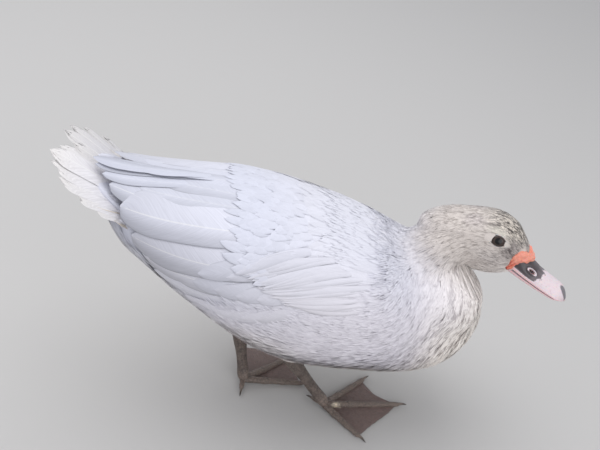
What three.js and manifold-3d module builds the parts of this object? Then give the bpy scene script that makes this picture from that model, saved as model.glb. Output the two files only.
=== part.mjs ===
// A life-size still model of a standing Muscovy duck, its neck drawn in and its head turned a little right.
// Millimetres: +X forward, +Y to the bird's left, +Z up, and the soles at z = 0.
// The body is a row of rounded sections along X; the head, bill, wings, tail and legs grow from it.
import * as THREE from "three";
import { mergeVertices } from "three/addons/utils/BufferGeometryUtils.js";
import Module from "manifold-3d";

const wasm = await Module();
wasm.setup();

// Driving dimensions
const GAP = 0.3; // clear space between neighbouring pieces
const SQUARENESS = 0.9; // below 1 the sections are a little fuller than ellipses
const FINENESS = 0.11; // facets that bend less than this are joined
const COVER = 5; // thickness of a folded wing over the body
const EYE_RADIUS = 7.5;
const BILL_LENGTH = 56;
const BILL_TIP = 11; // length of the bill's rounded end
const TAIL_LENGTH = 107;
const TAIL_RISE = 30; // degrees above the horizontal
const THIGH_RADIUS = 26; // with its feathers, at the hip
const SHANK_RADIUS = 5;
const TOE_RADIUS = 3.6;
const SOLE_DEPTH = 2.2; // height of a toe's middle over the ground at its tip
const WEB_THICKNESS = 1.6;
const CLAW_LENGTH = 9;
const CLAW_RADIUS = 2;

// Body outline with folded wings, rear to front: x, height of the centre line, half width, rise, drop.
const BODY = [
  [-212, 224, 38, 22, 22],
  [-175, 205, 54, 35, 33],
  [-135, 190, 70, 47, 50],
  [-85, 174, 86, 62, 67],
  [-30, 159, 91, 70, 75],
  [25, 149, 86, 68, 72],
  [75, 138, 75, 61, 64],
  [118, 130, 63, 52, 54],
  [168, 130, 54, 46, 50],
];
const BREAST_ROUNDING = 60; // length of the rounded front end
const RUMP_ROUNDING = 26; // length of the rounded rear end
const TAIL_CUT = -172; // the trunk ends and the tail begins here

// Tail fan: its root, and its half width at distances back from there.
const TAIL_ROOT = new THREE.Vector3(-160, 0, 207);
const TAIL_WIDTH = [
  [-5, 42],
  [30, 48],
  [65, 47],
  [110, 40],
];
const TAIL_FEATHERS = 9;
const TAIL_THICKNESS = 5; // of the upper half at its root
const TAIL_EDGE = 0.8; // of each half at its tip
const TAIL_ARCH = 6; // how far the outer feathers droop
const TAIL_STEP = 4; // how far the feather tips stand out
const COVERT_DEPTH = 24; // depth of the small feathers under the root

// Edges of a folded wing, rear to front: x, and the angles of its upper and lower edges (degrees up the section).
const WING = [
  [-216, 78, 58],
  [-196, 86, 34],
  [-165, 87, 2],
  [-120, 87, -22],
  [-60, 85, -30],
  [0, 78, -24],
  [50, 62, -8],
  [84, 46, 16],
];

const FEATHER_COUNT = 9; // feather tips that step along a folded wing's rear edge
const FEATHER_STEP = 5; // how far the tips stand out, in degrees round the section
const WING_TIP_THICKNESS = 1.5;
const WING_FRONT_ROUNDING = 34;
const WING_TIP_ROUNDING = 20;

// Neck, base to nape: x, y, z of the centre line and the radius across it.
const NECK = [
  [58, 3, 142, 46],
  [86, 1, 172, 40],
  [102, -4, 201, 34],
  [116, -10, 222, 27],
  [138, -17, 229, 22],
];
const NECK_FLATNESS = 0.85; // its depth from nape to throat, as a share of its width
// The neck ends and the head begins at a plane through this point, square to this direction.
const NAPE_CUT = { point: new THREE.Vector3(104, -6, 208), along: new THREE.Vector3(0.55, -0.2, 0.81).normalize() };

// Head in its own frame, x along the bill: x, height of the centre line, half width, rise, drop.
const HEAD_PLACE = new THREE.Vector3(145, -18, 234);
const HEAD_TURN = -28; // degrees to the left, so negative is to the right
const HEAD_DIP = 12.5; // degrees nose down
const HEAD = [
  [-69, -25, 17, 15, 18],
  [-42, -15, 22, 15.5, 33],
  [-14, -5, 23, 23, 39],
  [6, -3, 21, 24.3, 36],
  [20, -6, 15.5, 18.6, 24],
  [34, -9, 10, 10.5, 9],
];
const HEAD_ROUNDING = 14;
const EYE = new THREE.Vector3(0, 15.2, 4);

// Upper and lower bill in the head's frame: x, height of the edge, half width, rise, drop.
const BILL_BASE = 26;
const BILL_UPPER = [
  [0, -13, 12, 17, 0.8],
  [0.3, -14, 12.8, 11, 0.8],
  [0.6, -14.5, 13.5, 7, 0.8],
  [0.85, -14.8, 13.2, 4.5, 0.8],
  [1, -15.5, 11.5, 3, 1.6],
];
const BILL_LOWER = [
  [-0.06, -15.5, 10.5, 0.8, 6],
  [0.3, -15.9, 12.6, 0.4, 4.5],
  [0.7, -16, 12.8, 0.4, 2.4],
  [0.94, -16.4, 10.5, 0.4, 1.4],
];

// Legs: where the foot stands, its heading (degrees to the left), the heel joint and the hip end;
// inward is +1 where the inner toe lies to the left.
const LEGS = {
  right: { stand: [33, -33], heading: 7, heel: [-13, -27, 60], hip: [-22, -36, 112], inward: 1 },
  left: { stand: [-51, -8], heading: 36, heel: [-63, 6, 56], hip: [-58, 34, 116], inward: -1 },
};
// Toes of a right foot, outer to inner: angle from its heading (degrees to the left), length.
const TOES = [
  [-54, 50],
  [0, 86],
  [33, 66],
];
const HIND_TOE = [135, 13]; // angle, length
const WEB_SAG = 0.1; // how far the web's edge draws back between two toes, as a share of their length
const ANKLE_CUT = 13; // the shank ends and the foot begins at this height


// Lumps of bare skin on one side of the bill's base, in the head's frame: x, y, z, radius.
const LUMPS = [
  [31, 3, 2, 5],
  [26, 8.5, -0.5, 5.2],
  [23, 11.5, -6, 4.2],
  [23.5, 12.5, -11.5, 3.4],
];

const DEGREE = Math.PI / 180;

// Smooth curve through a table whose rows are [position, value, value, ...].
function along(table, position) {
  const last = table.length - 2;
  let i = 0;
  while (i < last && position > table[i + 1][0]) i++;
  const [a, b] = [table[i], table[i + 1]];
  const slope = (p, q, k) => (q[k] - p[k]) / (q[0] - p[0]);
  const tangent = (row, k) => {
    const before = table[Math.max(row - 1, 0)];
    const after = table[Math.min(row + 1, last + 1)];
    return slope(before, after, k);
  };
  const t = THREE.MathUtils.clamp((position - a[0]) / (b[0] - a[0]), 0, 1);
  const span = b[0] - a[0];
  return a.slice(1).map((value, j) => {
    const k = j + 1;
    const rise = 3 * t * t - 2 * t * t * t;
    const leave = t * (1 - t) * (1 - t) * span * tangent(i, k);
    const arrive = t * t * (t - 1) * span * tangent(i + 1, k);
    return value + (b[k] - value) * rise + leave + arrive;
  });
}

// Height of a quarter ellipse at distance s in from its tip, 1 once s reaches the rounding length.
function roundEnd(s, length) {
  const u = THREE.MathUtils.clamp(1 - s / length, 0, 1);
  return Math.sqrt(1 - u * u);
}

function geometryFrom(points, faces) {
  const geometry = new THREE.BufferGeometry();
  geometry.setAttribute("position", new THREE.Float32BufferAttribute(points.flat(), 3));
  geometry.setIndex(faces.flat());
  return geometry;
}

// Closed skin over rings of points that run round the axis, each end drawn together at a point.
function skin(start, rings, end) {
  const count = rings[0].length;
  const points = [start, ...rings.flat(), end];
  const faces = [];
  const at = (ring, k) => 1 + ring * count + (k % count);
  for (let k = 0; k < count; k++) {
    faces.push([0, at(0, k + 1), at(0, k)]);
    faces.push([points.length - 1, at(rings.length - 1, k), at(rings.length - 1, k + 1)]);
    for (let r = 0; r + 1 < rings.length; r++) {
      faces.push([at(r, k), at(r, k + 1), at(r + 1, k)]);
      faces.push([at(r, k + 1), at(r + 1, k + 1), at(r + 1, k)]);
    }
  }
  return geometryFrom(points, faces);
}

// Closed plate over a grid: top(u, v) and bottom(u, v) give points for u and v from 0 to 1.
function plate(uCount, vCount, top, bottom) {
  const points = [];
  const faces = [];
  const layer = (uCount + 1) * (vCount + 1);
  for (const side of [top, bottom])
    for (let i = 0; i <= uCount; i++)
      for (let j = 0; j <= vCount; j++) points.push(side(i / uCount, j / vCount));
  const at = (i, j) => i * (vCount + 1) + j;
  const quad = (a, b, c, d) => faces.push([a, b, c], [a, c, d]);
  for (let i = 0; i < uCount; i++)
    for (let j = 0; j < vCount; j++) {
      quad(at(i, j), at(i + 1, j), at(i + 1, j + 1), at(i, j + 1));
      quad(layer + at(i, j), layer + at(i, j + 1), layer + at(i + 1, j + 1), layer + at(i + 1, j));
    }
  for (let i = 0; i < uCount; i++) {
    quad(at(i + 1, 0), at(i, 0), layer + at(i, 0), layer + at(i + 1, 0));
    quad(at(i, vCount), at(i + 1, vCount), layer + at(i + 1, vCount), layer + at(i, vCount));
  }
  for (let j = 0; j < vCount; j++) {
    quad(at(0, j), at(0, j + 1), layer + at(0, j + 1), layer + at(0, j));
    quad(at(uCount, j + 1), at(uCount, j), layer + at(uCount, j), layer + at(uCount, j + 1));
  }
  return geometryFrom(points, faces);
}

// Solid from a closed geometry, turned right side out.
function solid(geometry) {
  const bare = geometry.clone();
  bare.deleteAttribute("normal");
  bare.deleteAttribute("uv");
  const merged = mergeVertices(bare, 1e-4);
  const vertProperties = merged.attributes.position.array;
  const build = (triVerts) => new wasm.Manifold(new wasm.Mesh({ numProp: 3, vertProperties, triVerts }));
  const made = build(new Uint32Array(merged.index.array));
  return made.volume() > 0 ? made : build(new Uint32Array(merged.index.array).reverse());
}

// Outline point of a section at angle a (radians up from the left side), from its half width, rise and drop.
function section(a, wide, rise, drop) {
  const bend = (v) => Math.sign(v) * Math.abs(v) ** SQUARENESS;
  const [c, s] = [bend(Math.cos(a)), bend(Math.sin(a))];
  return [wide * c, (s > 0 ? rise : drop) * s];
}

// Row of upright sections along X, with rounded ends; sink(x, a) draws the surface in.
function sectionLoft({ table, ringCount, pointCount, roundings, grow = 0, sink = () => 0 }) {
  const [low, high] = [table[0][0] - grow, table[table.length - 1][0] + grow];
  const rings = [];
  for (let r = 1; r < ringCount; r++) {
    const x = THREE.MathUtils.lerp(low, high, 0.5 - 0.5 * Math.cos((Math.PI * r) / ringCount));
    const [middle, wide, rise, drop] = along(table, x);
    const cap = roundEnd(x - low, roundings[0]) * roundEnd(high - x, roundings[1]);
    const ring = [];
    for (let k = 0; k < pointCount; k++) {
      const a = (2 * Math.PI * k) / pointCount;
      const out = grow - Math.min(sink(x, a), 0.4 * rise * cap);
      const [y, z] = section(a, wide * cap + out, rise * cap + out, drop * cap + out);
      ring.push([x, y, middle + z]);
    }
    rings.push(ring);
  }
  return solid(skin([low, 0, along(table, low)[0]], rings, [high, 0, along(table, high)[0]]));
}

// How deep the trunk lies under the folded wings at x and angle a: COVER under a wing, none at breast and belly.
function underWing(x, a) {
  const up = a > 1.5 * Math.PI ? a - 2 * Math.PI : Math.PI / 2 - Math.abs(a - Math.PI / 2);
  const [rear, front] = [WING[0][0], WING[WING.length - 1][0]];
  const lower = along(WING, THREE.MathUtils.clamp(x, rear, front))[1];
  const inAngle = THREE.MathUtils.smoothstep(up / DEGREE, lower - 12, lower - 3);
  const inLength = 1 - THREE.MathUtils.smoothstep(x, front + 2, front + 14);
  return COVER * inAngle * inLength;
}

// Trunk, and the same shape grown by a gap for cutting its neighbours.
function body(grow) {
  const roundings = [RUMP_ROUNDING, BREAST_ROUNDING];
  return sectionLoft({ table: BODY, ringCount: 24, pointCount: 26, roundings, grow, sink: underWing });
}

// Point on the outline of the body with its wings, drawn in by depth.
function outline(x, a, depth) {
  const [middle, wide, rise, drop] = along(BODY, x);
  const cap = roundEnd(x - BODY[0][0], RUMP_ROUNDING) * 0.75 + 0.25;
  const [y, z] = section(a, wide * cap - depth, rise * cap - depth, drop * cap - depth);
  return [x, y, middle + z];
}

// Folded wing: a curved plate over the body's side between its two edge angles, stepped by feather tips below.
// Where it lies on the body it is made too deep, and the body is cut from it afterwards.
function wing(side) {
  const [rear, front] = [WING[0][0], WING[WING.length - 1][0]];
  const surface = (depthAt) => (u, v) => {
    const x = THREE.MathUtils.lerp(rear, front, u);
    const [upper, lower] = along(WING, x);
    const middle = (upper + lower) / 2;
    const reach = roundEnd(front - x, WING_FRONT_ROUNDING) * roundEnd(x - rear + 3, WING_TIP_ROUNDING);
    const tips = FEATHER_STEP * Math.abs(Math.sin(Math.PI * u * FEATHER_COUNT)) * (1 - u);
    const a = middle + ((upper - lower) / 2) * reach * (1 - 2 * v) - tips * v;
    const [px, py, pz] = outline(x, a * DEGREE, depthAt(x));
    return [px, side * py, pz];
  };
  const overBody = THREE.MathUtils.smoothstep;
  const inner = (x) => THREE.MathUtils.lerp(WING_TIP_THICKNESS, COVER + 3, overBody(x, rear, TAIL_CUT - 13));
  const geometry = plate(24, 7, surface(() => 0), surface(inner));
  return solid(geometry);
}

// Tail fan in its own frame: s back along the tail, v across it from -1 to 1, h up from its middle sheet.
function tailFan(grow) {
  const rise = TAIL_RISE * DEGREE;
  const back = new THREE.Vector3(-Math.cos(rise), 0, Math.sin(rise));
  const up = new THREE.Vector3(Math.sin(rise), 0, Math.cos(rise));
  const sheet = (h) => (u, t) => {
    const v = 2 * t - 1;
    const tips = TAIL_STEP * (Math.abs(Math.cos((Math.PI * v * TAIL_FEATHERS) / 2)) - 1);
    const length = TAIL_LENGTH * (1 - 0.1 * v * v) + tips + grow;
    const s = THREE.MathUtils.lerp(-grow, length, u);
    const wide = along(TAIL_WIDTH, s)[0] + grow;
    const root = h > 0 ? TAIL_THICKNESS : COVERT_DEPTH * Math.sqrt(1 - 0.8 * v * v);
    const thick = THREE.MathUtils.lerp(root, TAIL_EDGE, u) + grow;
    const lift = h * thick - TAIL_ARCH * v * v;
    const point = TAIL_ROOT.clone().addScaledVector(back, s).addScaledVector(up, lift);
    return [point.x, v * wide, point.z];
  };
  return solid(plate(4, 27, sheet(1), sheet(-1)));
}

// Tube along a smooth path; stations are [x, y, z, radius], each end closed by a flat cap.
// Its depth square to the level is its width times flatness.
function tube(stations, ringCount, pointCount, grow = 0, flatness = 1) {
  const path = new THREE.CatmullRomCurve3(stations.map(([x, y, z]) => new THREE.Vector3(x, y, z)));
  const radii = stations.map(([, , , radius], i) => [i / (stations.length - 1), radius]);
  const rings = [];
  const centres = [];
  for (let r = 0; r <= ringCount; r++) {
    const t = r / ringCount;
    const tangent = path.getTangent(t);
    const end = t === 0 ? -grow : t === 1 ? grow : 0;
    const centre = path.getPoint(t).addScaledVector(tangent, end);
    const across = new THREE.Vector3(-tangent.y, tangent.x, 0);
    if (across.length() < 0.2) across.set(0, 1, 0);
    across.addScaledVector(tangent, -across.dot(tangent)).normalize();
    const upward = new THREE.Vector3().crossVectors(tangent, across);
    const radius = along(radii, t)[0] + grow;
    const ring = [];
    for (let k = 0; k < pointCount; k++) {
      const a = (2 * Math.PI * k) / pointCount;
      const point = centre.clone().addScaledVector(across, radius * Math.cos(a));
      ring.push(point.addScaledVector(upward, radius * flatness * Math.sin(a)).toArray());
    }
    rings.push(ring);
    centres.push(centre.toArray());
  }
  return solid(skin(centres[0], rings, centres[ringCount]));
}

function ball(x, y, z, radius, segments) {
  return solid(new THREE.SphereGeometry(radius, segments, Math.round(segments * 0.7))).translate([x, y, z]);
}

const headFrame = new THREE.Matrix4()
  .makeRotationZ(HEAD_TURN * DEGREE)
  .multiply(new THREE.Matrix4().makeRotationY(HEAD_DIP * DEGREE))
  .setPosition(HEAD_PLACE);
const inHead = (piece) => piece.transform(headFrame.toArray());

// One half of the bill from its table of shares of the bill's length.
function bill(table, grow) {
  const rows = table.map(([share, ...sizes]) => [BILL_BASE + share * BILL_LENGTH, ...sizes]);
  return sectionLoft({ table: rows, ringCount: 10, pointCount: 14, roundings: [0.5, BILL_TIP], grow });
}

// Bare knobbly skin round the base of the bill: a chain of lumps from the forehead to each corner of the mouth.
function caruncle(grow) {
  const lumps = LUMPS.flatMap(([x, y, z, radius]) =>
    [-1, 1].map((side) => ball(x, side * y, z, radius + grow, 7)),
  );
  return wasm.Manifold.union(lumps);
}

// Foot on the ground, pointing along +X: a web between the three front toes, and the hind toe.
function foot(leg, grow) {
  const toes = TOES.map(([angle, length]) => [angle * leg.inward, length]).sort((p, q) => p[0] - q[0]);
  const edge = (angle) => {
    const i = angle < toes[1][0] ? 0 : 1;
    const t = (angle - toes[i][0]) / (toes[i + 1][0] - toes[i][0]);
    const straight = THREE.MathUtils.lerp(toes[i][1], toes[i + 1][1], t);
    return straight * (0.94 - WEB_SAG * Math.sin(Math.PI * t)) + grow;
  };
  const sheet = (z) => (u, v) => {
    const angle = THREE.MathUtils.lerp(toes[0][0], toes[2][0], v);
    const r = THREE.MathUtils.lerp(4, edge(angle), u);
    return [r * Math.cos(angle * DEGREE), r * Math.sin(angle * DEGREE), z];
  };
  const web = solid(plate(2, 12, sheet(WEB_THICKNESS + grow), sheet(0)));
  const rays = [...toes, [HIND_TOE[0] * leg.inward, HIND_TOE[1]]].map(([angle, length]) => {
    const [c, s] = [Math.cos(angle * DEGREE), Math.sin(angle * DEGREE)];
    const stations = [
      [0, 0, 3.2 * SOLE_DEPTH, TOE_RADIUS + 1],
      [0.3 * length * c, 0.3 * length * s, 1.7 * SOLE_DEPTH, TOE_RADIUS],
      [0.65 * length * c, 0.65 * length * s, 1.3 * SOLE_DEPTH, TOE_RADIUS - 0.4],
      [length * c, length * s, SOLE_DEPTH, TOE_RADIUS - 1.2],
    ];
    return tube(stations, 5, 8, grow);
  });
  return wasm.Manifold.union([web, ...rays]);
}

// Place a foot's own frame at the leg's stand and heading.
function placeFoot(leg, piece) {
  const [x, y] = leg.stand;
  return piece.rotate([0, 0, leg.heading]).translate([x, y, 0]);
}

// Claw at the tip of a toe, curving down to the ground.
function claw(angle, length) {
  const [c, s] = [Math.cos(angle * DEGREE), Math.sin(angle * DEGREE)];
  const at = (r, z, radius) => [(length + r) * c, (length + r) * s, z, radius];
  const stations = [
    at(-CLAW_RADIUS, SOLE_DEPTH, CLAW_RADIUS),
    at(CLAW_LENGTH * 0.5, SOLE_DEPTH + 0.4, CLAW_RADIUS * 0.75),
    at(CLAW_LENGTH, SOLE_DEPTH * 0.4, CLAW_RADIUS * 0.25),
  ];
  return tube(stations, 3, 5);
}

const above = (piece, z) => piece.trimByPlane([0, 0, 1], z);
const below = (piece, z) => piece.trimByPlane([0, 0, -1], -z);

// The biggest of a solid's separate bodies, in case a cut has left crumbs.
function biggest(piece) {
  return piece.decompose().sort((p, q) => q.volume() - p.volume())[0];
}

// Assembly
const plumage = new THREE.MeshStandardMaterial({ color: 0xd4d3da, roughness: 0.85 });
const warmPlumage = new THREE.MeshStandardMaterial({ color: 0xbdb2a9, roughness: 0.9 });
const tailPlumage = new THREE.MeshStandardMaterial({ color: 0xe4ded6, roughness: 0.85 });
const bareSkin = new THREE.MeshStandardMaterial({ color: 0xe0714f, roughness: 0.5 });
const horn = new THREE.MeshStandardMaterial({ color: 0xdcc6cb, roughness: 0.3 });
const eyeDark = new THREE.MeshStandardMaterial({ color: 0x1b120d, roughness: 0.05 });
const legSkin = new THREE.MeshStandardMaterial({ color: 0x6e5e56, roughness: 0.6 });
const clawHorn = new THREE.MeshStandardMaterial({ color: 0x3a332f, roughness: 0.4 });

const duck = new THREE.Group();

function add(name, piece, material) {
  const { vertProperties, triVerts } = biggest(piece).simplify(FINENESS).getMesh();
  const geometry = new THREE.BufferGeometry();
  geometry.setAttribute("position", new THREE.BufferAttribute(vertProperties, 3));
  geometry.setIndex(new THREE.BufferAttribute(triVerts, 1));
  const mesh = new THREE.Mesh(geometry, material);
  mesh.name = name;
  duck.add(mesh);
}

const bodyAndFan = body(0).add(tailFan(0));
const grownBody = body(GAP);
const grownFan = tailFan(GAP);
add("trunk", bodyAndFan.trimByPlane([1, 0, 0], TAIL_CUT + GAP / 2), plumage);
add("tail", bodyAndFan.trimByPlane([-1, 0, 0], -TAIL_CUT + GAP / 2), tailPlumage);

for (const [side, name] of [[1, "wing_left"], [-1, "wing_right"]])
  add(name, wing(side).subtract(grownBody).subtract(grownFan), plumage);

const grownBills = inHead(bill(BILL_UPPER, GAP).add(bill(BILL_LOWER, GAP)));
const grownLumps = inHead(caruncle(GAP));
const eyes = (grow) => [1, -1].map((side) => inHead(ball(EYE.x, side * EYE.y, EYE.z, EYE_RADIUS + grow, 12)));
const headRoundings = [HEAD_ROUNDING, HEAD_ROUNDING];
const skull = sectionLoft({ table: HEAD, ringCount: 13, pointCount: 18, roundings: headRoundings });
const neckAndHead = tube(NECK, 6, 18, 0, NECK_FLATNESS)
  .add(inHead(skull))
  .subtract(grownBody)
  .subtract(grownBills)
  .subtract(grownLumps)
  .subtract(wasm.Manifold.union(eyes(GAP)));
const nape = NAPE_CUT.point.dot(NAPE_CUT.along);
add("neck", neckAndHead.trimByPlane(NAPE_CUT.along.clone().negate().toArray(), GAP / 2 - nape), warmPlumage);
add("head", neckAndHead.trimByPlane(NAPE_CUT.along.toArray(), GAP / 2 + nape), warmPlumage);
add("bill_upper", inHead(bill(BILL_UPPER, 0)), horn);
add("bill_lower", inHead(bill(BILL_LOWER, 0).subtract(bill(BILL_UPPER, GAP))), horn);
add("caruncle", inHead(caruncle(0)).subtract(grownBills), bareSkin);
eyes(0).forEach((eye, i) => add(i === 0 ? "eye_left" : "eye_right", eye, eyeDark));

for (const [side, leg] of Object.entries(LEGS)) {
  const [x, y] = leg.stand;
  const ankle = 3.2 * SOLE_DEPTH;
  const shaft = [
    [...leg.heel, SHANK_RADIUS + 2],
    [(leg.heel[0] + x) / 2, (leg.heel[1] + y) / 2, (leg.heel[2] + ankle) / 2, SHANK_RADIUS],
    [x, y, ankle, SHANK_RADIUS + 0.8],
  ];
  const standing = above(placeFoot(leg, foot(leg, 0)), 0).add(above(tube(shaft, 6, 10), 0));
  add(`foot_${side}`, below(standing, ANKLE_CUT - GAP / 2), legSkin);
  const upperLeg = above(standing, ANKLE_CUT + GAP / 2);
  add(`shank_${side}`, upperLeg, legSkin);
  const sleeve = [
    [...leg.hip, THIGH_RADIUS],
    [...[0, 1, 2].map((k) => (leg.hip[k] + leg.heel[k]) / 2), THIGH_RADIUS * 0.54],
    [...leg.heel, SHANK_RADIUS + 3],
  ];
  const grownShaft = tube(shaft, 6, 10, GAP);
  add(`thigh_${side}`, tube(sleeve, 5, 10).subtract(grownBody).subtract(grownShaft), plumage);
  const grownFoot = placeFoot(leg, foot(leg, GAP));
  const rays = [["outer", ...TOES[0]], ["middle", ...TOES[1]], ["inner", ...TOES[2]], ["hind", ...HIND_TOE]];
  for (const [toe, angle, length] of rays) {
    const tip = placeFoot(leg, claw(angle * leg.inward, length));
    add(`claw_${toe}_${side}`, above(tip.subtract(grownFoot), 0), clawHorn);
  }
}

// Origin at the middle of the ground outline.
const bounds = new THREE.Box3().setFromObject(duck);
const centre = bounds.getCenter(new THREE.Vector3());
duck.position.set(-centre.x, -centre.y, -bounds.min.z);

export default duck;
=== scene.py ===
import bpy
import numpy as np
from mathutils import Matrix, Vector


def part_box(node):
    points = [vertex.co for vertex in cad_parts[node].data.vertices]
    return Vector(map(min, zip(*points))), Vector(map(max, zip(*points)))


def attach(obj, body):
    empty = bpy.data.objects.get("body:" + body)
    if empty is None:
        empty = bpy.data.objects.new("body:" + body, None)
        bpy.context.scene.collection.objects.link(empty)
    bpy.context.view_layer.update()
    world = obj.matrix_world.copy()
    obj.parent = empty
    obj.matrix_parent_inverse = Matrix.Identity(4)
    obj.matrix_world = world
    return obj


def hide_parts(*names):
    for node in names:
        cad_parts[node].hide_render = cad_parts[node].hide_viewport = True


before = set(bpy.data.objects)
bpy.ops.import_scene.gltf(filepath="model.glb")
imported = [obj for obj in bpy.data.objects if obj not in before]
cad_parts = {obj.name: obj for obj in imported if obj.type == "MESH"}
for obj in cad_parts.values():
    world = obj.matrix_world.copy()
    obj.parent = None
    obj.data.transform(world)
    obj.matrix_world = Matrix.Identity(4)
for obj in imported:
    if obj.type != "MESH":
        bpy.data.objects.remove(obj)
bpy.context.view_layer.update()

DEGREE = np.pi / 180

# The camera stands above the duck's right side and looks down on it, a little rolled.
# The head's own frame, x along the bill, is set out first: its eyes give the duck's place in the frame.
HEAD_PLACE = np.array([145.0, -18.0, 234.0])
HEAD_TURN, HEAD_DIP = -28 * DEGREE, 12.5 * DEGREE
EYE_AT = np.array([0, 15.2, 4])


def head_axes(turn, dip):
    """Rows are the head's forward, left and up: forward dipped by dip, then all turned about z."""
    c, s = np.cos(turn), np.sin(turn)
    about_z = np.array([[c, s, 0], [-s, c, 0], [0, 0, 1]])
    pitched = np.array([[np.cos(dip), 0, -np.sin(dip)], [0, 1, 0], [np.sin(dip), 0, np.cos(dip)]])
    return pitched @ about_z


HEAD_FRAME = head_axes(HEAD_TURN, HEAD_DIP)


def from_head(points):
    """Points of the head's frame on the duck's axes: place + x forward + y left + z up."""
    return HEAD_PLACE + np.asarray(points, float) @ HEAD_FRAME


def to_head(points):
    """The reverse: points of the duck's axes in the head's frame."""
    return (points - HEAD_PLACE) @ HEAD_FRAME.T


eye_box = np.mean([list(corner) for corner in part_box("eye_left")], axis=0) * 1000
ORIGIN = np.array([eye_box[0] - from_head(EYE_AT)[0], 0, 0])


def placed(points):
    """Millimetres on the duck's axes to metres of the frame: (point + origin) / 1000."""
    return (np.asarray(points, float) + ORIGIN) * 0.001


def unit(v):
    """Vectors divided by their length."""
    return v / np.maximum(np.linalg.norm(v, axis=-1, keepdims=True), 1e-9)


def in_scene(name, data, axes=None, place=None):
    """An object of the data in the scene; axes are its columns, place is in metres."""
    made = bpy.data.objects.new(name, data)
    if axes is not None:
        pose = np.eye(4)
        pose[:3, :3], pose[:3, 3] = np.stack(axes, axis=1), place
        made.matrix_world = pose.T.tolist()
    bpy.context.scene.collection.objects.link(made)
    return made


VIEW_TURN, VIEW_HEIGHT, VIEW_ROLL = -14 * DEGREE, 36 * DEGREE, 15.5 * DEGREE
VIEW_TARGET, VIEW_DISTANCE, LENS, SENSOR = [-34.1, 0, 206], 757, 50, 36
back = np.array([np.sin(VIEW_TURN) * np.cos(VIEW_HEIGHT), -np.cos(VIEW_TURN) * np.cos(VIEW_HEIGHT),
                 np.sin(VIEW_HEIGHT)])
level = np.array([np.cos(VIEW_TURN), np.sin(VIEW_TURN), 0])
upright = np.cross(back, level)
right = level * np.cos(VIEW_ROLL) + upright * np.sin(VIEW_ROLL)
up = -level * np.sin(VIEW_ROLL) + upright * np.cos(VIEW_ROLL)
camera = in_scene("camera", bpy.data.cameras.new("camera"), [right, up, back],
                  placed(VIEW_TARGET + back * VIEW_DISTANCE))
camera.data.lens = LENS
camera.data.sensor_width = SENSOR
bpy.context.scene.camera = camera

# The skin is one closed hide over rump, trunk, neck and head, with the two thighs under it.
# It lies inside the solids by the depth of the coat, and replaces every solid of flesh and feather.
BODY = np.array([  # x, height of the centre line, half width, rise, drop
    [-212, 214, 34, 14, 12], [-175, 204, 54, 34, 33], [-135, 190, 70, 47, 50], [-85, 174, 86, 62, 67],
    [-30, 159, 91, 70, 75], [25, 149, 86, 68, 72], [75, 138, 75, 61, 64], [118, 130, 63, 52, 54],
    [168, 130, 54, 46, 50]], float)
HEAD = np.array([  # x, height of the centre line, half width, rise, drop, in the head's frame
    [-69, -27, 14, 8, 18], [-42, -15, 22, 18, 33], [-14, -5, 23, 26.3, 39], [6, -3, 21, 25, 36],
    [20, -6, 15.5, 20.6, 24], [34, -9, 10, 14, 9]], float)
NECK = np.array([  # x, y, z, radius
    [58, 3, 142, 46], [85, 1, 172, 39], [99, -3, 203, 30], [116, -9, 221, 23], [138, -17, 228, 21]])
NECK_FLATNESS = 0.85  # its depth from nape to throat, as a share of its width
CROP, CROP_SIZE = np.array([108.5, -24, 163]), np.array([42, 43, 38])  # the full crop, under the chin
TAIL_ROOT, TAIL_RISE = np.array([-160.0, 0, 207]), 30 * DEGREE
TAIL_FLESH = np.array([  # distance back from the root, half width, thickness above and below
    [-25, 34, 10, 26], [0, 38, 3, 21], [30, 37, 2, 14], [55, 30, 1.5, 7], [72, 16, 0.8, 2]], float)
SPINE = np.array([  # place along the spine, its x, y, z, and the pitch and turn of the section there
    [0, -219, 0, 240, -30, 0], [35, -192, 0, 224, -30, 0], [75, -158, 0, 204, -24, 0],
    [105, -130, 0, 190, -14, 0], [155, -84, 0, 173, -4, 0], [210, -30, 0, 159, 0, 0], [262, 22, 1, 154, 6, 0],
    [300, 54, 2, 160, 20, -2], [332, 78, 0, 180, 42, -6], [356, 95, -4, 201, 55, -12],
    [378, 110, -9, 219, 45, -18], [398, 126, -13, 229, 18, -24], [418, 143, -18, 230, -4, -28],
    [440, 162, -28, 226, -12, -28], [452, 172, -33, 223, -12.5, -28]], float)
COAT_DEPTH = {"body": 2.5, "neck": 2.3, "head": 1.3}
BODY_ENDS, HEAD_ENDS = (26, 60), (14, 9)  # lengths over which the rear and front ends are rounded
FARTHEST, FIRST_STEP = 120.0, 3.0         # how far and how finely the skin is looked for from the spine
BODY_BLEND, HEAD_BLEND = 4.0, 1.8         # how softly the forms run together


def along(table, x):
    """Smooth curve through a table's rows: a cubic between two, the slope at each that of its neighbours."""
    x = np.asarray(x, float)
    knots, values = table[:, 0], table[:, 1:]
    last = len(knots) - 1
    before, after = np.maximum(np.arange(last + 1) - 1, 0), np.minimum(np.arange(last + 1) + 1, last)
    slopes = (values[after] - values[before]) / (knots[after] - knots[before])[:, None]
    i = np.clip(np.searchsorted(knots, x, side="right") - 1, 0, last - 1)
    span = (knots[i + 1] - knots[i])[..., None]
    t = np.clip((x[..., None] - knots[i][..., None]) / span, 0, 1)
    bend = t * (1 - t) ** 2 * span * slopes[i] + t * t * (t - 1) * span * slopes[i + 1]
    return values[i] + (values[i + 1] - values[i]) * (3 * t * t - 2 * t ** 3) + bend


def columns_of(table, x):
    """The columns of the curve through a table, each as an array of its own."""
    return np.moveaxis(along(table, x), -1, 0)


def round_end(inwards, length):
    """Height of a quarter ellipse at a distance in from its tip: sqrt(1 - (1 - inwards / length)^2)."""
    u = np.clip(1 - inwards / length, 0, 1)
    return np.sqrt(1 - u * u)


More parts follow.
